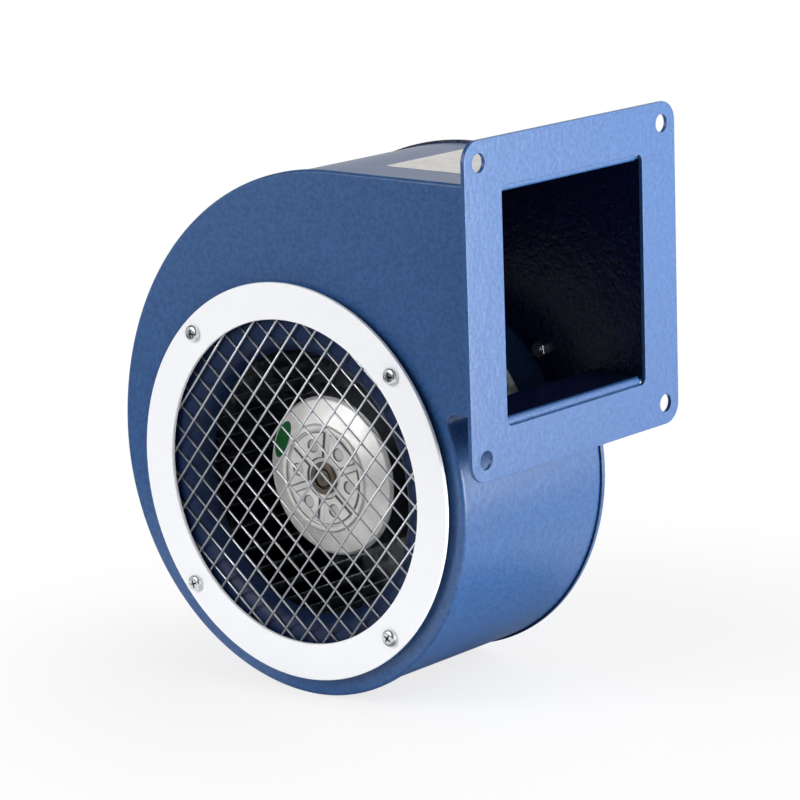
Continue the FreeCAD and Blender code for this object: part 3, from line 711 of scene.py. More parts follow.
@dataclass(frozen=True)
class TurnedMetal(Finish):
    """Steel turned on a lathe and lightly oiled: fine rings about the shaft."""

    feed: float = 0.35

    def work(self, tree: bpy.types.NodeTree, shader: bpy.types.Node, place: bpy.types.NodeSocket) -> None:
        """Adds the tool's rings, drawn about three times as coarse as the real feed so that they show.

        Args:
            tree: the material's node tree.
            shader: its Principled shader.
            place: Object coordinates in metres.
        """
        centred = add_node(tree, "ShaderNodeMapping", {
            "Vector": place, "Location": (-SHAFT[0] * MM, 0.0, -SHAFT[1] * MM)})
        rings = add_node(tree, "ShaderNodeTexWave", {
            "Vector": centred.outputs[0], "Scale": WAVE_PERIOD / (self.feed * MM), "Distortion": 0.6},
            wave_type="RINGS", rings_direction="Y")
        grooves = add_node(tree, "ShaderNodeBump", {
            "Height": rings.outputs["Fac"], "Strength": 1.0, "Distance": 0.01 * MM})
        feed(tree, shader, {"Normal": grooves.outputs[0], "Metallic": 1.0})


@dataclass(frozen=True)
class Layered(Finish):
    """Punched sheets or wound wire: thin stripes across the shaft's direction."""

    layer: float = 0.5
    shade: str = "#2A2B2D"
    height: float = 0.05

    def work(self, tree: bpy.types.NodeTree, shader: bpy.types.Node, place: bpy.types.NodeSocket) -> None:
        """Adds one stripe and groove for each sheet or turn of wire.

        Args:
            tree: the material's node tree.
            shader: its Principled shader.
            place: Object coordinates in metres.
        """
        stripes = add_node(tree, "ShaderNodeTexWave", {
            "Vector": place, "Scale": WAVE_PERIOD / (self.layer * MM), "Distortion": 0.3},
            wave_type="BANDS", bands_direction="Y")
        tint = add_node(tree, "ShaderNodeMix", {
            0: stripes.outputs["Fac"], 6: linear(self.shade), 7: linear(self.colour)}, data_type="RGBA")
        grooves = add_node(tree, "ShaderNodeBump", {
            "Height": stripes.outputs["Fac"], "Strength": 1.0, "Distance": self.height * MM})
        feed(tree, shader, {"Base Color": tint.outputs[2], "Normal": grooves.outputs[0], "Metallic": 0.9})


@dataclass(frozen=True)
class Film(Finish):
    """Printed film or moulded rubber: one colour with faint clouding and a shallow grain."""

    shade: str = "#000000"
    cloud: float = 4.0
    grain: float = 1.0
    depth: float = 0.02

    def work(self, tree: bpy.types.NodeTree, shader: bpy.types.Node, place: bpy.types.NodeSocket) -> None:
        """Adds clouding and grain.

        Args:
            tree: the material's node tree.
            shader: its Principled shader.
            place: Object coordinates in metres.
        """
        clouds = add_node(tree, "ShaderNodeTexNoise", {
            "Vector": place, "Scale": 1 / (self.cloud * MM), "Detail": 5.0, "Roughness": 0.65})
        spread = add_node(tree, "ShaderNodeMapRange", {
            "Value": clouds.outputs[0], "From Min": 0.32, "From Max": 0.55})
        tint = add_node(tree, "ShaderNodeMix", {
            0: spread.outputs[0], 6: linear(self.shade), 7: linear(self.colour)}, data_type="RGBA")
        fine = add_node(tree, "ShaderNodeTexNoise", {
            "Vector": place, "Scale": 1 / (self.grain * MM), "Detail": 2.0})
        bump = add_node(tree, "ShaderNodeBump", {
            "Height": fine.outputs[0], "Strength": 1.0, "Distance": self.depth * MM})
        feed(tree, shader, {"Base Color": tint.outputs[2], "Normal": bump.outputs[0]})


# Powder on the whole casing, with broad orange peel: deep blue in shade, pale where it mirrors the studio
BLUE_COAT = PowderCoat("Powder-coated steel, gentian blue", "#335A8E", 0.28, shade="#2B4E7F", peel=2.0,
                       peel_height=0.12)
# Inside the casing the same blue is painted almost black, a painted shade for the dark inside; its peel is
# heavier, so it shows grey sparks
SHADED_INNER_COAT = PowderCoat("Powder-coated steel, inside of the casing", "#10183A", 0.24, shade="#0B1230", peel=1.7,
                        peel_height=0.35)
# Nozzle: the casing's blue painted dark navy as painted shade under the guard, and nearly dull
NOZZLE_COAT = PowderCoat("Powder-coated steel, dark nozzle", "#122548", 0.42, shade="#0E1E3C", gloss=0.2)
# White powder on the guard's ring: even, with almost no peel
WHITE_COAT = PowderCoat("Powder-coated steel, traffic white", "#F9FAFD", 0.32, shade="#F7F8FC",
                        peel_height=0.01)
# Dip coat on the rotor's shell: grey-black satin
DARK_COAT = PowderCoat("Dip-coated steel, graphite", "#3A3E44", 0.38, shade="#2C3035", peel_height=0.03)
# Spangled strip of the impeller: light grey where it faces the outlet
GALVANISED = GalvanisedSheet("Galvanised steel strip", "#C6CACC", 0.38)
# Electroplated screws, nuts and rivets: bright, with dark reflections of the room
ZINC = PlatedMetal("Zinc-plated steel", "#D6D9DC", 0.2)
# Drawn and galvanised guard wire: light grey, softer than the screws
WIRE = PlatedMetal("Galvanised drawn wire", "#C6C9CE", 0.4)
# Ground and polished races: nearly a mirror
RACE = PlatedMetal("Polished bearing steel", "#C9CBCE", 0.12)
# Cast cap and motor foot, blasted: silky pale grey
CAST = CastMetal("Die-cast aluminium, blasted", "#F0EEEC", 0.46, shade="#CDCBCA")
# Hub bush and shaft: brownish oiled steel
TURNED = TurnedMetal("Turned steel, oiled", "#6E675D", 0.36)
# Stator and rotor cores, stacked from punched sheets: dull grey with fine stripes
CORE = Layered("Laminated electrical steel", "#6B6E73", 0.45)
# Winding heads, enamelled and dipped in varnish: glossy red-brown with the wires' ridges
COPPER = Layered("Enamelled copper wire", "#9A4A22", 0.3, layer=0.7, shade="#5A2410", height=0.15)
# Moulded grommet: dull black
RUBBER = Film("Moulded black rubber", "#1B1B1C", 0.62, shade="#121213", depth=0.05)
# Oval sticker on the rotor: bare, an even glossy green
GREEN_FILM = Film("Green vinyl sticker", "#0E5527", 0.3, shade="#0A4720", depth=0.01)
# Label on the duct: bare, off-white and faintly soiled
WHITE_FILM = Film("White polyester label", "#EFEDEA", 0.42, shade="#DEDBD7", cloud=9.0, depth=0.01)


def dress(piece: bpy.types.Object, finish: Finish, body: Body, nodes: Sequence[str] = (),
          inside: Finish | None = None) -> None:
    """Gives a finished piece its material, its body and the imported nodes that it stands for.

    Args:
        piece: object with its final mesh.
        finish: finish of the whole piece.
        body: body that the piece moves with.
        nodes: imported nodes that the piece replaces.
        inside: finish of the faces with material index 1.
    """
    if not piece.data.materials:
        piece.data.materials.append(finish.material())
    if inside:
        piece.data.materials.append(inside.material())
    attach(piece, body.value)
    if nodes:
        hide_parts(*nodes)
    log.info("%s: %d faces", piece.name, len(piece.data.polygons))


def repaint(node: str, finish: Finish) -> None:
    """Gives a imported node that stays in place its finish.

    Args:
        node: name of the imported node.
        finish: its new finish.
    """
    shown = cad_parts[node]
    if not shown.material_slots:
        shown.data.materials.append(None)
    for holder in shown.material_slots:
        holder.material = finish.material()
    log.info("%s: packed node with a new finish", node)


# Sub-assemblies


@dataclass
class ScrollOutline:
    """Side outline of scroll and duct: arcs that follow each other without a kink, and two straight runs."""

    duct_top: float = 50.0
    start_radius: float = 96.0
    side_radius: float = 107.5
    top_radius: float = 132.0
    tongue_radius: float = 4.0

    def points(self, end_x: float) -> list[tuple[Vector, Vector]]:
        """Walks from the roof's open end round the scroll to the floor's open end.

        Args:
            end_x: place of the open end.

        Returns:
            Each point with the direction that leaves the casing.
        """
        shaft_x, shaft_z = SHAFT
        middle_z = self.duct_top - self.top_radius
        top_x = shaft_x + self.top_radius - self.side_radius
        tongue_z = -self.duct_top - self.tongue_radius
        reach = self.start_radius + self.tongue_radius
        tongue_x = shaft_x + math.sqrt(reach ** 2 - (tongue_z - shaft_z) ** 2)
        low = math.degrees(math.atan2(tongue_z - shaft_z, tongue_x - shaft_x))
        arcs = (((top_x, middle_z), self.top_radius, 90.0, 180.0, 60, 1),
                ((shaft_x, middle_z), self.side_radius, 180.0, 270.0, 54, 1),
                (SHAFT, self.start_radius, -90.0, low, 64, 1),
                ((tongue_x, tongue_z), self.tongue_radius, low + 180.0, 90.0, 14, -1))
        walk = [(Vector((end_x, self.duct_top)), Vector((0.0, 1.0)))]
        for i, (centre, radius, start, end, steps, way) in enumerate(arcs):
            # An arc after the first begins at the point where the one before it ended
            for point in arc(centre, radius, start, end, steps)[min(i, 1):]:
                walk.append((Vector(point), (Vector(point) - Vector(centre)).normalized() * way))
        walk.append((Vector((end_x, -self.duct_top)), Vector((0.0, -1.0))))
        return walk


@dataclass
class Casing:
    """Two side plates with rounded seam rims, the wrap between them, the flange and the label."""

    outline: ScrollOutline
    half_width: float = 49.5
    sheet: float = 1.0
    rim_depth: float = 3.2
    rim_bend: float = 1.5
    rim_edge: float = 0.6
    wrap_inset: float = 1.1
    lip_width: float = 8.0
    lip_bend: float = 2.0
    lip_half: float = 46.2
    lip_edge: float = 0.3
    lip_root: float = 3.0
    flange_half: float = 72.0
    flange_sheet: float = 2.0
    flange_corner: float = 9.0
    flange_edge: float = 0.35
    opening_half_y: float = 48.0
    opening_half_z: float = 51.0
    opening_corner: float = 3.0
    bolt_half: float = 62.5
    bolt_hole: float = 4.0
    inlet_hole: float = 78.0
    motor_hole: float = 73.5
    label_low: Triple = (-86.0, -22.0, 48.9)
    label_high: Triple = (-10.0, 35.0, 49.1)
    label_corner: float = 1.5
    label_edge: float = 0.05

    def side_plate(self, side: Side) -> bpy.types.Object:
        """Builds one side plate: flat sheet with its round hole, seam rim and the lip behind the flange.

        Args:
            side: side of the casing.

        Returns:
            The finished object; material index 1 marks the faces that look inside.
        """
        outwards = side.value
        face_y = outwards * self.half_width
        bm = bmesh.new()
        walk = self.outline.points(-self.flange_sheet)
        profile = rounded([
            (self.rim_bend, 0.0), (0.0, 0.0, self.rim_bend), (0.0, self.rim_depth, self.rim_edge),
            (self.sheet, self.rim_depth), (self.sheet, self.sheet, self.rim_bend - self.sheet),
            (self.rim_bend, self.sheet)], closed=False)
        rows = [[bm.verts.new((point.x - away.x * inset, face_y - outwards * depth, point.y - away.y * inset))
                 for point, away in walk] for inset, depth in profile]
        skin(bm, rows, around=False)
        radius = self.inlet_hole if side is Side.INLET else self.motor_hole
        hole = [[bm.verts.new((x, face_y - outwards * depth, z)) for x, z in circle(SHAFT, radius, 192)]
                for depth in (0.0, self.sheet)]
        skin(bm, hole)
        for row, ring in ((rows[0], hole[0]), (rows[-1], hole[1])):
            border = [bm.edges.get(pair) for pair in zip(row, row[1:])]
            border.append(bm.edges.new((row[-1], row[0])))
            border += [bm.edges.get(pair) for pair in zip(ring, ring[1:] + ring[:1])]
            bmesh.ops.triangle_fill(bm, use_beauty=True, use_dissolve=False, edges=border)
        for end in (0, -1):
            bm.faces.new([row[end] for row in rows])
        bm.faces.new((rows[0][0], rows[0][-1], rows[-1][-1], rows[-1][0]))
        self.plate_lip(bm, outwards)
        plate = as_object(bm, "inlet_side_plate" if side is Side.INLET else "motor_side_plate")
        for face in plate.data.polygons:
            face.material_index = int(face.normal.y * outwards < -0.5)
        return plate

    def plate_lip(self, bm: bmesh.types.BMesh, outwards: int) -> None:
        """Draws the plate's lip behind the flange, with the hollow of its bend.

        Args:
            bm: mesh of the plate.
            outwards: direction along Y that leaves the casing, +1 or -1.
        """
        back, front = -self.flange_sheet - self.sheet, -self.flange_sheet
        # The lip is rooted just under the plate's face, so that the two read as one sheet
        root, under = self.half_width - 0.1, self.half_width - 0.5
        edge = self.half_width + self.lip_width
        section = rounded([(front, under), (front, edge), (back, edge, self.lip_edge), (back, root, self.sheet),
                           (back - self.lip_root, root), (back - self.lip_root, under)])
        half = self.outline.duct_top - self.rim_bend
        ends = [[bm.verts.new((x, outwards * y, z)) for x, y in section] for z in (-half, half)]
        skin(bm, ends)
        for end in ends:
            bm.faces.new(end)

    def wrap(self) -> bpy.types.Object:
        """Builds the strip rolled between the side plates, with both ends turned out against the flange.

        Returns:
            The finished object; material index 1 marks the faces that look inside.
        """
        bend_x = -self.flange_sheet - self.lip_bend
        level = self.outline.duct_top - self.wrap_inset
        bend_z = level + self.lip_bend - self.sheet
        lip = [((bend_x + self.sheet, level + self.lip_width), (-1.0, 0.0))]
        for x, z in arc((bend_x, bend_z), self.lip_bend - self.sheet, 0.0, -90.0, 8):
            lip.append(((x, z), (bend_x - x, bend_z - z)))
        # The run starts half a millimetre behind the last point of the bend
        run = [(point - away * self.wrap_inset, away) for point, away in self.outline.points(bend_x - 0.5)]
        upper = [(Vector(point), Vector(away).normalized()) for point, away in lip]
        lower = [(Vector((point.x, -point.y)), Vector((away.x, -away.y))) for point, away in reversed(upper)]
        wide = self.half_width - self.rim_bend
        bm = bmesh.new()
        sections = []
        for points, half in ((upper, self.lip_half), (run, wide), (lower, self.lip_half)):
            for outer, away in points:
                inner = outer - away * self.sheet
                sections.append([bm.verts.new(corner) for corner in (
                    (outer.x, -half, outer.y), (outer.x, half, outer.y),
                    (inner.x, half, inner.y), (inner.x, -half, inner.y))])
        skin(bm, sections)
        # Four faces stand between two sections; the third looks into the casing, save on the two lips
        for i, face in enumerate(bm.faces):
            face.material_index = int(i % 4 == 2 and len(upper) <= i // 4 < len(upper) + len(run) - 1)
        bm.faces.new(sections[0])
        bm.faces.new(sections[-1])
        return as_object(bm, "scroll_strip")

    def flange(self) -> bpy.types.Object:
        """Builds the square outlet flange with softly rounded cut edges.

        Returns:
            The finished object.
        """
        holes = [round_shape(self.bolt_hole, (y, z), 48)
                 for y in (-self.bolt_half, self.bolt_half) for z in (-self.bolt_half, self.bolt_half)]
        shapes = [slab_shape(self.flange_half, self.flange_half, self.flange_corner),
                  slab_shape(self.opening_half_y, self.opening_half_z, self.opening_corner), *holes]
        bm = bmesh.new()
        perforated(bm, shapes, -self.flange_sheet, 0.0, across_duct, self.flange_edge)
        return as_object(bm, "flange_plate")

    def label(self) -> bpy.types.Object:
        """Builds the bare label on the duct's roof, with rounded corners.

        Returns:
            The finished object.
        """
        (x0, y0, z0), (x1, y1, z1) = self.label_low, self.label_high
        shape = slab_shape((x1 - x0) / 2, (y1 - y0) / 2, self.label_corner, ((x0 + x1) / 2, (y0 + y1) / 2))
        bm = bmesh.new()
        perforated(bm, [shape], z0, z1, lying_flat, self.label_edge)
        return as_object(bm, "bare_roof_label")

    def build(self) -> None:
        """Builds and dresses the casing."""
        # Their inward faces get the inner coat: the blue painted almost black as painted shade
        for piece, node in ((self.side_plate(Side.INLET), "front_side_plate"),
                            (self.side_plate(Side.MOTOR), "rear_side_plate"), (self.wrap(), "scroll_wrap")):
            dress(piece, BLUE_COAT, Body.HOUSING, [node], inside=SHADED_INNER_COAT)
        dress(self.flange(), BLUE_COAT, Body.HOUSING, ["outlet_flange"])
        dress(self.label(), WHITE_FILM, Body.HOUSING, ["rating_label"])


@dataclass
class PanScrew:
    """Screw with a domed head and a cross recess; its seat is at the origin and its axis along Y."""

    length: float
    radius: float = 2.0
    head_radius: float = 3.9
    head_height: float = 2.4
    land_radius: float = 2.55
    arm: float = 2.05
    arm_width: float = 0.85
    recess: float = 1.5
    recess_floor: float = 0.55

    def source(self, outwards: int) -> bpy.types.Object:
        """Builds the screw that the copies are made from.

        Args:
            outwards: direction of the head along Y, +1 or -1.

        Returns:
            An object that is removed once its copies are made.
        """
        bm = bmesh.new()
        hollow = bm.verts.layers.float.new("hollow")
        steps = 48
        head, crown = self.head_radius, self.head_height
        profile = [(0.0, -self.length), (self.radius, -self.length), (self.radius, 0.0), (head - 0.15, 0.0),
                   (head, 0.2), (head, 0.45 * crown), (head - 0.25, 0.68 * crown), (head - 0.65, 0.85 * crown),
                   (self.land_radius, crown)]
        rings = []
        for radius, depth in profile:
            loop = circle((0.0, 0.0), radius, steps)
            point = [bm.verts.new((0.0, outwards * depth, 0.0))] * steps
            rings.append(point if radius == 0 else [bm.verts.new((x, outwards * depth, z)) for x, z in loop])
        skin(bm, rings)
        mouth = self.cross(bm, 1.0, outwards * crown)
        floor = self.cross(bm, self.recess_floor, outwards * (crown - self.recess))
        # The floor of the cross recess is marked for painted shade, darkened in the material
        for vert in floor:
            vert[hollow] = 1.0
        skin(bm, [mouth, floor])
        bm.faces.new(floor)
        rim = rings[-1]
        border = [bm.edges.get(pair) for pair in zip(rim, rim[1:] + rim[:1])]
        border += [bm.edges.get(pair) for pair in zip(mouth, mouth[1:] + mouth[:1])]
        bmesh.ops.triangle_fill(bm, use_beauty=True, use_dissolve=False, edges=border)
        return as_object(bm, "screw_source", crease=38.0)

    def cross(self, bm: bmesh.types.BMesh, share: float, depth: float) -> Ring:
        """Draws the outline of the cross recess at one depth.

        Args:
            bm: mesh of the screw.
            share: size of the cross as a share of its mouth.
            depth: place along Y.

        Returns:
            The outline's vertices.
        """
        arm, half = self.arm * share, self.arm_width / 2 * (0.5 + share / 2)
        quarter = [(half, half), (arm, half, half * 0.6), (arm, -half, half * 0.6)]
        corners = []
        for turn in range(4):
            cosine, sine = round(math.cos(turn * math.pi / 2)), round(math.sin(turn * math.pi / 2))
            corners += [(cosine * u + sine * v, -sine * u + cosine * v, *rest) for u, v, *rest in quarter]
        return [bm.verts.new((u, depth, v)) for u, v in rounded(corners, steps=3)]


@dataclass
class Fasteners:
    """Sets of equal screws, nuts and rivets, each set spread by one Geometry Nodes tree."""

    tree: bpy.types.NodeTree

    def spread(self, name: str, source: bpy.types.Object, count: int, ring: float, turn: float, y: float,
               centre: Pair = SHAFT, spin: float = FULL_TURN, seed: int = 3) -> bpy.types.Object:
        """Spreads copies of a fastener on a circle and removes the one that they were made from.

        Args:
            name: name of the piece.
            source: the fastener at the origin.
            count: number of copies.
            ring: radius of the circle in millimetres.
            turn: angle of the first copy in degrees.
            y: place of the seats along the shaft.
            centre: middle of the circle in x and z.
            spin: largest turn of a copy about its own axis.
            seed: fixes the turns.

        Returns:
            One object with all copies.
        """
        piece = run_tree(self.tree, name, {
            "Piece": source, "Count": count, "Circle": ring * MM, "Turn": math.radians(turn),
            "Centre": (centre[0] * MM, y * MM, centre[1] * MM), "Spin": spin, "Seed": seed,
            "Material": ZINC.material()})
        bpy.data.objects.remove(source)
        return piece

    def nut(self, across: float, height: float, bore: float) -> bpy.types.Object:
        """Builds a hexagon nut with its corners chamfered, standing inwards from its seat.

        Args:
            across: width across the flats.
            height: height of the nut.
            bore: radius of its hole.

        Returns:
            An object that is removed once its copies are made.
        """
        bm = bmesh.new()
        perforated(bm, [round_shape(across / math.sqrt(3), steps=6), round_shape(bore)], -height, 0.0,
                   across_shaft, 0.25)
        return as_object(bm, "nut_source")

    def rivet(self, radius: float, head_radius: float, head_height: float, grip: float) -> bpy.types.Object:
        """Builds a rivet with a domed head towards the inlet and a flat head behind.

        Args:
            radius: radius of the shank.
            head_radius: radius of both heads.
            head_height: height of the domed head.
            grip: thickness that the rivet holds together.

        Returns:
            An object that is removed once its copies are made.
        """
        bm = bmesh.new()
        dome = [(head_radius * math.cos(angle), -head_height * math.sin(angle))
                for angle in (math.pi / 2 * i / 6 for i in range(7))]
        dome[-1] = (0.0, -head_height)
        back = [(0.0, grip + 0.6), (head_radius - 0.3, grip + 0.6), (head_radius, grip + 0.3),
                (head_radius, grip), (radius, grip), (radius, 0.0)]
        lathe(bm, dome[::-1] + back[::-1], centre=(0.0, 0.0), steps=24, closed=False)
        return as_object(bm, "rivet_source")


@dataclass
class InletGuard:
    """Spun nozzle, two layers of wire, the white clamping ring and its four screws."""

    fasteners: Fasteners
    wires: bpy.types.NodeTree
    face_y: float = -49.5
    nozzle_sheet: float = 1.0
    nozzle_flange: float = 88.0
    nozzle_shoulder: float = 70.0
    nozzle_throat: float = 60.0
    nozzle_depth: float = 10.0
    ring_back: float = -52.5
    ring_front: float = -54.5
    ring_outer: float = 90.0
    ring_inner: float = 73.4
    ring_edge: float = 0.5
    screw_circle: float = 83.2
    screw_turn: float = 42.2
    screw_hole: float = 2.2
    wire_radius: float = 0.5
    wire_turn: float = 51.3
    front_pitch: float = 9.65
    front_shift: float = 2.2
    rear_pitch: float = 9.35
    rear_shift: float = -4.3
    mesh_radius: float = 79.0

    def nozzle(self) -> bpy.types.Object:
        """Builds the bell; its flange is concentric with the ring and its throat with the shaft.

        Returns:
            The finished object.
        """
        front = self.face_y - self.nozzle_sheet
        lip_y = front + self.nozzle_depth
        bend = (self.nozzle_shoulder, lip_y)
        outside = arc(bend, self.nozzle_depth, 270.0, 180.0, 20)
        inside = arc(bend, self.nozzle_depth - self.nozzle_sheet, 180.0, 270.0, 20)
        bm = bmesh.new()
        steps = 192
        rings = [[(x, front, z) for x, z in circle(GUARD, self.nozzle_flange, steps)]]
        rings += [[(x, y, z) for x, z in circle(SHAFT, radius, steps)] for radius, y in outside + inside]
        rings += [[(x, self.face_y, z) for x, z in circle(GUARD, self.nozzle_flange, steps)]]
        verts = [[bm.verts.new(point) for point in ring] for ring in rings]
        skin(bm, verts + verts[:1])
        return as_object(bm, "inlet_bell", bevel=0.15)

    def layer(self, name: str, turn: float, pitch: float, shift: float, y: float) -> bpy.types.Object:
        """Lays one layer of straight wires: all that cross the opening and aren't cut too short to hold.

        Args:
            name: name of the piece.
            turn: direction of the wires in degrees from level.
            pitch: distance from wire to wire.
            shift: distance of the wire that is nearest to the middle.
            y: place of the layer along the shaft.

        Returns:
            One object with all wires of the layer.
        """
        reach = self.mesh_radius - 2 * self.wire_radius
        offsets = [shift + i * pitch for i in range(-20, 21) if abs(shift + i * pitch) < reach]
        return run_tree(self.wires, name, {
            "Count": len(offsets), "Pitch": pitch * MM, "Shift": sum(offsets) / len(offsets) * MM,
            "Opening Radius": self.mesh_radius * MM, "Wire Radius": self.wire_radius * MM,
            "Turn": math.radians(turn), "Centre": (GUARD[0] * MM, y * MM, GUARD[1] * MM),
            "Material": WIRE.material()})

    def ring(self) -> bpy.types.Object:
        """Builds the flat clamping ring with softly rounded edges.

        Returns:
            The finished object.
        """
        spots = arc(GUARD, self.screw_circle, self.screw_turn, self.screw_turn + 270.0, 3)
        shapes = [round_shape(self.ring_outer, GUARD, 192), round_shape(self.ring_inner, GUARD, 192),
                  *[round_shape(self.screw_hole, spot) for spot in spots]]
        bm = bmesh.new()
        perforated(bm, shapes, self.ring_back, self.ring_front, across_shaft, self.ring_edge)
        return as_object(bm, "clamping_ring")

    def build(self) -> None:
        """Builds and dresses the guard."""
        dress(self.nozzle(), NOZZLE_COAT, Body.HOUSING, ["inlet_nozzle"])
        dress(self.ring(), WHITE_COAT, Body.HOUSING, ["guard_ring"])
        front_y, rear_y = self.ring_back + self.wire_radius, self.ring_back + 3 * self.wire_radius
        front = self.layer("outer_wires", self.wire_turn, self.front_pitch, self.front_shift, front_y)
        dress(front, WIRE, Body.HOUSING, ["guard_front_wires"])
        rear = self.layer("inner_wires", self.wire_turn - 90.0, self.rear_pitch, self.rear_shift, rear_y)
        dress(rear, WIRE, Body.HOUSING, ["guard_rear_wires"])
        screws = self.fasteners.spread("ring_screws", PanScrew(9.0).source(-1), 4, self.screw_circle,
                                       self.screw_turn, self.ring_front, GUARD, seed=11)
        dress(screws, ZINC, Body.HOUSING, ["guard_screws"])


@dataclass
class MotorMount:
    """What closes the casing's other side: motor plate, cast foot, grommet, screws and nuts."""

    fasteners: Fasteners
    plate_front: float = 49.5
    plate_back: float = 51.0
    plate_radius: float = 87.0
    plate_hole: float = 27.0
    plate_edge: float = 0.4
    screw_hole: float = 2.2
    plate_circle: float = 80.0
    foot_circle: float = 36.0
    turn: float = 40.0
    nut_across: float = 7.0
    nut_height: float = 3.0
    nut_seat: float = 48.5

    def plate(self) -> bpy.types.Object:
        """Builds the round motor plate with its eight screw holes.

        Returns:
            The finished object.
        """
        shapes = [round_shape(self.plate_radius, SHAFT, 192), round_shape(self.plate_hole, SHAFT, 96)]
        for radius in (self.plate_circle, self.foot_circle):
            spots = arc(SHAFT, radius, self.turn, self.turn + 270.0, 3)
            shapes += [round_shape(self.screw_hole, spot) for spot in spots]
        bm = bmesh.new()
        perforated(bm, shapes, self.plate_front, self.plate_back, across_shaft, self.plate_edge)
        return as_object(bm, "motor_carrier")

    def build(self) -> None:
        """Builds and dresses the motor's side."""
        dress(self.plate(), BLUE_COAT, Body.HOUSING, ["motor_plate"])
        dress(smooth_copy("stator_flange", "cast_foot", bevel=0.3), CAST, Body.HOUSING,
              ["stator_flange"])
        dress(smooth_copy("cable_grommet", "lead_grommet"), RUBBER, Body.HOUSING,
              ["cable_grommet"])
        for name, node, length, ring, seed in (
                ("carrier_screws", "motor_plate_screws", 6.5, self.plate_circle, 5),
                ("foot_screws", "stator_screws", 7.5, self.foot_circle, 7)):
            screw = PanScrew(length, head_radius=3.8).source(1)
            screws = self.fasteners.spread(name, screw, 4, ring, self.turn, self.plate_back, seed=seed)
            dress(screws, ZINC, Body.HOUSING, [node])
        nut = self.fasteners.nut(self.nut_across, self.nut_height, 2.0)
        nuts = self.fasteners.spread("carrier_nuts", nut, 4, self.plate_circle, self.turn, self.nut_seat,
                                     spin=0.0)
        dress(nuts, ZINC, Body.HOUSING, ["motor_plate_nuts"])


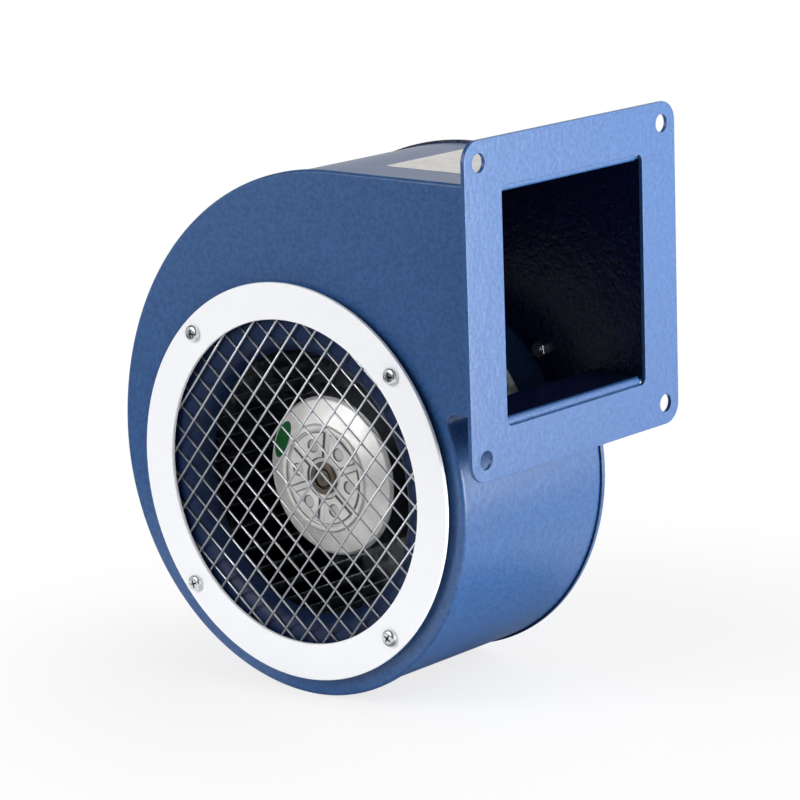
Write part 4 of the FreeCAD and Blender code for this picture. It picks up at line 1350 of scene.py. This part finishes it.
@dataclass
class Rotor:
    """Cast cap with its rimmed disc, steel shell, hub bush and shaft end, and the bare sticker."""

    front: float = -33.7
    hub_radius: float = 7.5
    disc_radius: float = 24.0
    disc_rim: float = 1.8
    disc_recess: float = 1.6
    pad_height: float = 1.0
    pad_inner: float = 9.5
    pad_outer: float = 21.0
    pad_channel: float = 3.2
    pad_count: int = 6
    pad_turn: float = 22.0
    dimple_circle: float = 15.3
    dimple_radius: float = 2.8
    dimple_depth: float = 0.7
    edge_softness: float = 0.35
    # Painted shade: width of the dark lines along pad and dimple edges, and how dark the dimples are painted
    shade_line_width: float = 0.5
    dimple_shade: float = 0.3
    outer_radius: float = 36.5
    shell_wall: float = 1.8
    shell_back: float = 36.0
    flange_radius: float = 45.0
    flange_front: float = 26.0
    flange_back: float = 28.0
    spigot_wall: float = 1.6
    spigot_depth: float = 4.0
    shoulder_edge: float = 1.3
    cap_back: float = -26.7
    cap_floor: float = 4.2
    bearing_y: float = -25.5
    shaft_radius: float = 4.0
    shaft_back: float = 39.0

    def step(self, distance: float) -> float:
        """Softened step from 0 outside an edge to 1 inside it, for a distance inside the edge."""
        share = min(max(distance / self.edge_softness + 0.5, 0.0), 1.0)
        return share * share * (3 - 2 * share)

    def inside(self, radius: float, angle: float) -> Pair:
        """Measures how far a place lies inside the outline of a pad and of a dimple.

        Args:
            radius: distance from the shaft.
            angle: angle round the shaft in radians.

        Returns:
            Distance inside the nearest pad and inside the nearest dimple, negative outside them.
        """
        sector = FULL_TURN / self.pad_count
        from_channel = (angle - math.radians(self.pad_turn) + sector / 2) % sector - sector / 2
        beside = abs(radius * math.sin(from_channel)) - self.pad_channel / 2
        middle = abs(from_channel) - sector / 2
        to_dimple = math.hypot(radius * math.cos(middle) - self.dimple_circle, radius * math.sin(middle))
        return min(beside, radius - self.pad_inner, self.pad_outer - radius), self.dimple_radius - to_dimple

    def relief(self, radius: float, angle: float) -> float:
        """Height of pads and dimples over the disc's floor, towards the inlet."""
        pad, dimple = self.inside(radius, angle)
        return self.pad_height * self.step(pad) - self.dimple_depth * self.step(dimple)

    def painted_shade(self, radius: float, angle: float) -> float:
        """Finds how much painted shade a place of the disc gets: dark lines along the edges of pads and
        dimples, and a lighter shade inside the dimples.

        Args:
            radius: distance from the shaft.
            angle: angle round the shaft in radians.

        Returns:
            Share of painted shade from 0 to 1.
        """
        pad, dimple = self.inside(radius, angle)
        line = 1 - min(abs(pad), abs(dimple)) / self.shade_line_width
        return max(line, self.dimple_shade * self.step(dimple), 0.0)

    def cap(self) -> bpy.types.Object:
        """Builds the cap: a relief of pads and dimples inside the rim, and the sloping shoulder outside.

        Returns:
            The finished object.
        """
        floor = self.front + self.disc_recess
        rim_inner = self.disc_radius - self.disc_rim
        bore = self.outer_radius - self.shell_wall
        shoulder = self.outer_radius - self.shoulder_edge
        underside = self.front + self.cap_floor
        # Steps of about a quarter of a millimetre, which the soft edges of pads and dimples need
        steps, circles = 540, 62
        bm = bmesh.new()
        hollow = bm.verts.layers.float.new("hollow")
        rings = []
        for i in range(circles + 1):
            radius = self.hub_radius + (rim_inner - 0.6 - self.hub_radius) * i / circles
            ring = []
            for j, (x, z) in enumerate(circle(SHAFT, radius, steps)):
                angle = FULL_TURN * j / steps
                vert = bm.verts.new((x, floor - self.relief(radius, angle), z))
                # Painted shade along the relief's edges and in the dimples
                vert[hollow] = self.painted_shade(radius, angle)
                ring.append(vert)
            rings.append(ring)
        outside = rounded([
            (rim_inner - 0.5, floor), (rim_inner, floor, 0.35), (rim_inner, self.front, 0.45),
            (self.disc_radius, self.front, 0.7), (self.disc_radius + 1.0, self.front + 1.2, 0.8),
            (shoulder, self.cap_back - 1.9, 2.0), (self.outer_radius, self.cap_back - 0.4, 0.5),
            (self.outer_radius, self.cap_back), (bore, self.cap_back)], closed=False, steps=5)
        back = [(bore, self.cap_back + self.spigot_depth),
                (bore - self.spigot_wall, self.cap_back + self.spigot_depth),
                (bore - self.spigot_wall, self.cap_back), (self.disc_radius, underside),
                (self.hub_radius, underside)]
        rings += [[bm.verts.new((x, y, z)) for x, z in circle(SHAFT, radius, steps)]
                  for radius, y in outside + back]
        skin(bm, rings + rings[:1])
        return as_object(bm, "cast_cap", crease=55.0)

    def turned(self, name: str, corners: Sequence[tuple]) -> bpy.types.Object:
        """Builds a piece turned about the shaft.

        Args:
            name: name of the piece.
            corners: its section as (radius, y), or (radius, y, rounding).

        Returns:
            The finished object.
        """
        bm = bmesh.new()
        lathe(bm, rounded(corners), steps=128)
        return as_object(bm, name)

    def build(self) -> None:
        """Builds and dresses the rotor."""
        dress(self.cap(), CAST, Body.ROTOR, ["rotor_cap"])
        outer, bore = self.outer_radius, self.outer_radius - self.shell_wall
        shell = self.turned("rotor_shell_cup", [
            (bore, self.cap_back), (outer, self.cap_back), (outer, self.flange_front, 0.8),
            (self.flange_radius, self.flange_front), (self.flange_radius, self.flange_back, 0.6),
            (outer, self.flange_back), (outer, self.shell_back, 0.5), (bore, self.shell_back)])
        dress(shell, DARK_COAT, Body.ROTOR, ["rotor_shell"])
        shaft_hole, mouth, neck = self.shaft_radius, 4.9, 5.8
        underside = self.front + self.cap_floor
        hub = self.turned("hub_bush", [
            (shaft_hole, self.front + 2.5), (mouth, self.front + 2.5), (mouth, self.front, 0.3),
            (self.hub_radius, self.front, 0.6), (self.hub_radius, underside), (neck, underside),
            (neck, self.bearing_y), (shaft_hole, self.bearing_y)])
        dress(hub, TURNED, Body.ROTOR, ["rotor_hub"])
        radius, chamfer = self.shaft_radius, 0.5
        shaft = self.turned("motor_shaft", [
            (0.0, self.front + 1.2), (0.7, self.front + 0.3), (0.9, self.front),
            (radius - chamfer, self.front, 0.2), (radius, self.front + chamfer, 0.2),
            (radius, self.shaft_back - chamfer), (radius - chamfer, self.shaft_back), (0.0, self.shaft_back)])
        dress(shaft, TURNED, Body.ROTOR, ["shaft"])
        dress(smooth_copy("inspection_sticker", "bare_oval_sticker"), GREEN_FILM, Body.ROTOR,
              ["inspection_sticker"])
        for node, finish in (("rotor_core", CORE), ("front_bearing_inner", RACE), ("rear_bearing_inner", RACE)):
            repaint(node, finish)


@dataclass
class Stator:
    """Inner parts of the motor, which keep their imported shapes."""

    def build(self) -> None:
        """Gives core, windings and outer races their finishes."""
        for node, finish in (("stator_stack", CORE), ("stator_windings", COPPER),
                             ("front_bearing_outer", RACE), ("rear_bearing_outer", RACE)):
            repaint(node, finish)


@dataclass
class Impeller:
    """Forward-curved blade cage between its two rings, riveted to the rotor."""

    fasteners: Fasteners
    cage: bpy.types.NodeTree
    blade_count: int = 36
    inner_radius: float = 62.0
    outer_radius: float = 75.0
    sheet: float = 0.7
    lead: float = 5.6
    front: float = -38.0
    back: float = 25.0
    ring_sheet: float = 1.0
    rim: float = 75.1
    rim_depth: float = 4.0
    ring_inner: float = 63.5
    bore: float = 36.6
    rivet_circle: float = 40.5

    def bend(self) -> Pair:
        """Works out the blade's arc from its two radii and its lead.

        Returns:
            Bend radius and the angle that the blade bends through.
        """
        tip, lead = self.outer_radius - self.sheet / 2, math.radians(self.lead)
        run, rise = tip * math.cos(lead) - self.inner_radius, tip * math.sin(lead)
        return (run ** 2 + rise ** 2) / (2 * rise), 2 * math.atan2(rise, run)

    def blades(self) -> bpy.types.Object:
        """Builds all blades with the blade cage tree.

        Returns:
            One object with all blades.
        """
        bend_radius, bend = self.bend()
        length = self.back - self.front - self.ring_sheet
        middle = self.back - length / 2
        return run_tree(self.cage, "curved_blades", {
            "Count": self.blade_count, "Inner Radius": self.inner_radius * MM, "Bend Radius": bend_radius * MM,
            "Bend": bend, "Sheet": self.sheet * MM, "Length": length * MM,
            "Centre": (SHAFT[0] * MM, middle * MM, SHAFT[1] * MM), "Material": GALVANISED.material()})

    def ring(self, name: str, bore: float, face: float, inwards: int) -> bpy.types.Object:
        """Builds a ring whose outer edge is turned over the blades' ends.

        Args:
            name: name of the piece.
            bore: radius of its hole.
            face: place of its flat face along the shaft.
            inwards: direction along Y to the blades, +1 or -1.

        Returns:
            The finished object.
        """
        outer = self.rim + self.ring_sheet
        inner_face = face + inwards * self.ring_sheet
        profile = rounded([(bore, face), (outer, face, 1.5), (outer, inner_face + inwards * self.rim_depth),
                           (self.rim, inner_face + inwards * self.rim_depth), (self.rim, inner_face, 0.5),
                           (bore, inner_face)])
        bm = bmesh.new()
        lathe(bm, profile, steps=192)
        return as_object(bm, name)

    def build(self) -> None:
        """Builds and dresses the impeller."""
        blades = smooth(self.blades())
        dress(blades, GALVANISED, Body.ROTOR, ["impeller_blades"])
        dress(self.ring("front_blade_ring", self.ring_inner, self.front, 1), GALVANISED,
              Body.ROTOR, ["impeller_front_ring"])
        dress(self.ring("back_blade_disc", self.bore, self.back + self.ring_sheet, -1), GALVANISED,
              Body.ROTOR, ["impeller_back_plate"])
        rivet = self.fasteners.rivet(radius=1.6, head_radius=3.0, head_height=1.2, grip=3.0)
        rivets = self.fasteners.spread("disc_rivets", rivet, 6, self.rivet_circle, 0.0, self.back)
        dress(rivets, ZINC, Body.ROTOR, ["impeller_rivets"])


@dataclass
class Lamp:
    """Soft box that looks at the fan; its level is the share of full daylight that it gives."""

    name: str
    direction: Triple
    distance: float
    size: float
    level: float

    def place(self, aim: Vector) -> None:
        """Hangs the soft box in the scene and turns it to the fan.

        Args:
            aim: point that it looks at.
        """
        data = bpy.data.lights.new(self.name, "AREA")
        data.shape = "SQUARE"
        data.size = self.size
        data.energy = self.level * math.pi ** 2 * self.distance ** 2
        lamp = bpy.data.objects.new(self.name, data)
        way = Vector(self.direction).normalized()
        lamp.location = aim + way * self.distance
        lamp.rotation_euler = way.to_track_quat("Z", "Y").to_euler()
        bpy.context.scene.collection.objects.link(lamp)


@dataclass
class Studio:
    """White sweep under the fan, soft boxes and the camera at the photo's angle."""

    floor_middle: Triple = (-60.0, 0.0, -189.6)
    floor_radius: float = 420.0
    paper: str = "#F6F6F6"
    # Grey of the paper as mirrors see it: painted shade in the casing's reflections of the floor
    mirrored_paper_shade: str = "#8A8C90"
    shadow_white: float = 0.75
    shadow_reach: Pair = (0.12, 0.34)
    mirror_reach: Pair = (0.07, 0.14)
    aim: Triple = (-0.05, 0.0, -0.07)
    camera_place: Triple = (0.8716, -1.1088, 0.2779)
    azimuth: float = 41.28
    elevation: float = 12.96
    roll: float = -1.95
    lens: float = 151.74
    bright_side: Triple = (0.62, 0.74, -0.25)
    room_low: float = 0.13
    room_high: float = 1.5
    room_turn: Pair = (-0.35, 0.65)

    def camera(self) -> None:
        """Sets the camera where the photo was taken from."""
        data = bpy.data.cameras.new("photo camera")
        data.lens = self.lens
        data.sensor_width = 36.0
        data.clip_start, data.clip_end = 0.01, 50.0
        view = bpy.data.objects.new("photo camera", data)
        turn, rise = math.radians(self.azimuth), math.radians(self.elevation)
        back = Vector((math.sin(turn) * math.cos(rise), -math.cos(turn) * math.cos(rise), math.sin(rise)))
        right = Vector((math.cos(turn), math.sin(turn), 0.0))
        up = back.cross(right)
        lean = math.radians(self.roll)
        level = right * math.cos(lean) + up * math.sin(lean)
        upright = up * math.cos(lean) - right * math.sin(lean)
        view.matrix_world = Matrix.Translation(self.camera_place) @ Matrix(
            (level, upright, back)).transposed().to_4x4()
        bpy.context.scene.collection.objects.link(view)
        bpy.context.scene.camera = view

    def world(self) -> None:
        """Makes the room: plain white to the camera, and brighter to the right and behind as a light."""
        world = bpy.data.worlds.new("studio")
        bpy.context.scene.world = world
        world.use_nodes = True
        tree = world.node_tree
        tree.nodes.clear()
        path = add_node(tree, "ShaderNodeLightPath")
        way = add_node(tree, "ShaderNodeTexCoord").outputs["Generated"]
        towards = add_node(tree, "ShaderNodeVectorMath", {0: way, 1: Vector(self.bright_side).normalized()},
                           operation="DOT_PRODUCT")
        share = add_node(tree, "ShaderNodeMapRange", {
            "Value": towards.outputs["Value"], "From Min": self.room_turn[0], "From Max": self.room_turn[1],
            "To Min": self.room_low, "To Max": self.room_high}, interpolation_type="SMOOTHSTEP")
        strength = add_node(tree, "ShaderNodeMix", {
            0: path.outputs["Is Camera Ray"], 2: share.outputs[0], 3: 1.0}, data_type="FLOAT")
        light = add_node(tree, "ShaderNodeBackground", {"Color": (1.0, 1.0, 1.0, 1.0),
                                                        "Strength": strength.outputs[0]})
        add_node(tree, "ShaderNodeOutputWorld", {"Surface": light.outputs[0]})

    def floor(self) -> None:
        """Lays a round white sheet that keeps a soft shadow near the fan and fades out to pure white."""
        bm = bmesh.new()
        bmesh.ops.create_circle(bm, cap_ends=True, segments=96, radius=self.floor_radius)
        bmesh.ops.translate(bm, vec=self.floor_middle, verts=bm.verts)
        sheet = as_object(bm, "studio_floor")
        finish = bpy.data.materials.new("Matt white paper sweep")
        finish.use_nodes = True
        tree = finish.node_tree
        tree.nodes.clear()
        path = add_node(tree, "ShaderNodeLightPath")
        place = add_node(tree, "ShaderNodeTexCoord").outputs["Object"]
        centred = add_node(tree, "ShaderNodeVectorMath",
                           {0: place, 1: Vector(self.floor_middle) * MM}, operation="DISTANCE")
        fade, clear = (add_node(tree, "ShaderNodeMapRange", {
            "Value": centred.outputs["Value"], "From Min": near, "From Max": far},
            interpolation_type="SMOOTHSTEP") for near, far in (self.shadow_reach, self.mirror_reach))
        white = add_node(tree, "ShaderNodeMapRange", {
            "Value": fade.outputs[0], "To Min": self.shadow_white, "To Max": 1.0})
        shown = add_node(tree, "ShaderNodeMath", {0: path.outputs["Is Camera Ray"], 1: white.outputs[0]},
                         operation="MULTIPLY")
        # Gloss and glass mirror the same white far out, and close to the fan a grey paper, a painted shade that
        # only mirrors see
        mirrors = add_node(tree, "ShaderNodeMath", {
            0: path.outputs["Is Glossy Ray"], 1: path.outputs["Is Transmission Ray"]}, operation="MAXIMUM")
        share = add_node(tree, "ShaderNodeMath", {
            0: mirrors.outputs[0], 1: clear.outputs[0], 2: shown.outputs[0]}, operation="MULTIPLY_ADD")
        shaded = add_node(tree, "ShaderNodeMix", {
            0: mirrors.outputs[0], 6: linear(self.paper), 7: linear(self.mirrored_paper_shade)}, data_type="RGBA")
        paper = add_node(tree, "ShaderNodeBsdfDiffuse", {"Color": shaded.outputs[2]})
        glow = add_node(tree, "ShaderNodeEmission", {"Color": (1.0, 1.0, 1.0, 1.0), "Strength": 1.0})
        mixed = add_node(tree, "ShaderNodeMixShader", {0: share.outputs[0], 1: paper.outputs[0],
                                                       2: glow.outputs[0]})
        add_node(tree, "ShaderNodeOutputMaterial", {"Surface": mixed.outputs[0]})
        sheet.data.materials.append(finish)

    def build(self) -> None:
        """Sets camera, room, floor and lamps."""
        self.camera()
        self.world()
        self.floor()
        aim = Vector(self.aim)
        for lamp in (Lamp("front soft box", (-0.3, -0.85, 0.42), distance=1.3, size=0.8, level=0.63),
                     Lamp("right soft box", (0.93, 0.3, -0.08), distance=1.2, size=1.0, level=1.9),
                     Lamp("low left soft box", (-0.85, -0.5, 0.2), distance=1.2, size=0.9, level=0.1)):
            lamp.place(aim)
        bpy.context.scene.view_settings.view_transform = "Standard"


def main() -> None:
    """Builds the studio and every sub-assembly."""
    logging.basicConfig(level=logging.INFO, format="%(name)s: %(message)s")
    Studio().build()
    fasteners = Fasteners(copies_tree())
    Casing(ScrollOutline()).build()
    InletGuard(fasteners, wires_tree()).build()
    MotorMount(fasteners).build()
    Rotor().build()
    Stator().build()
    Impeller(fasteners, blades_tree()).build()
    log.info("boxes written")


if __name__ == "__main__":
    main()
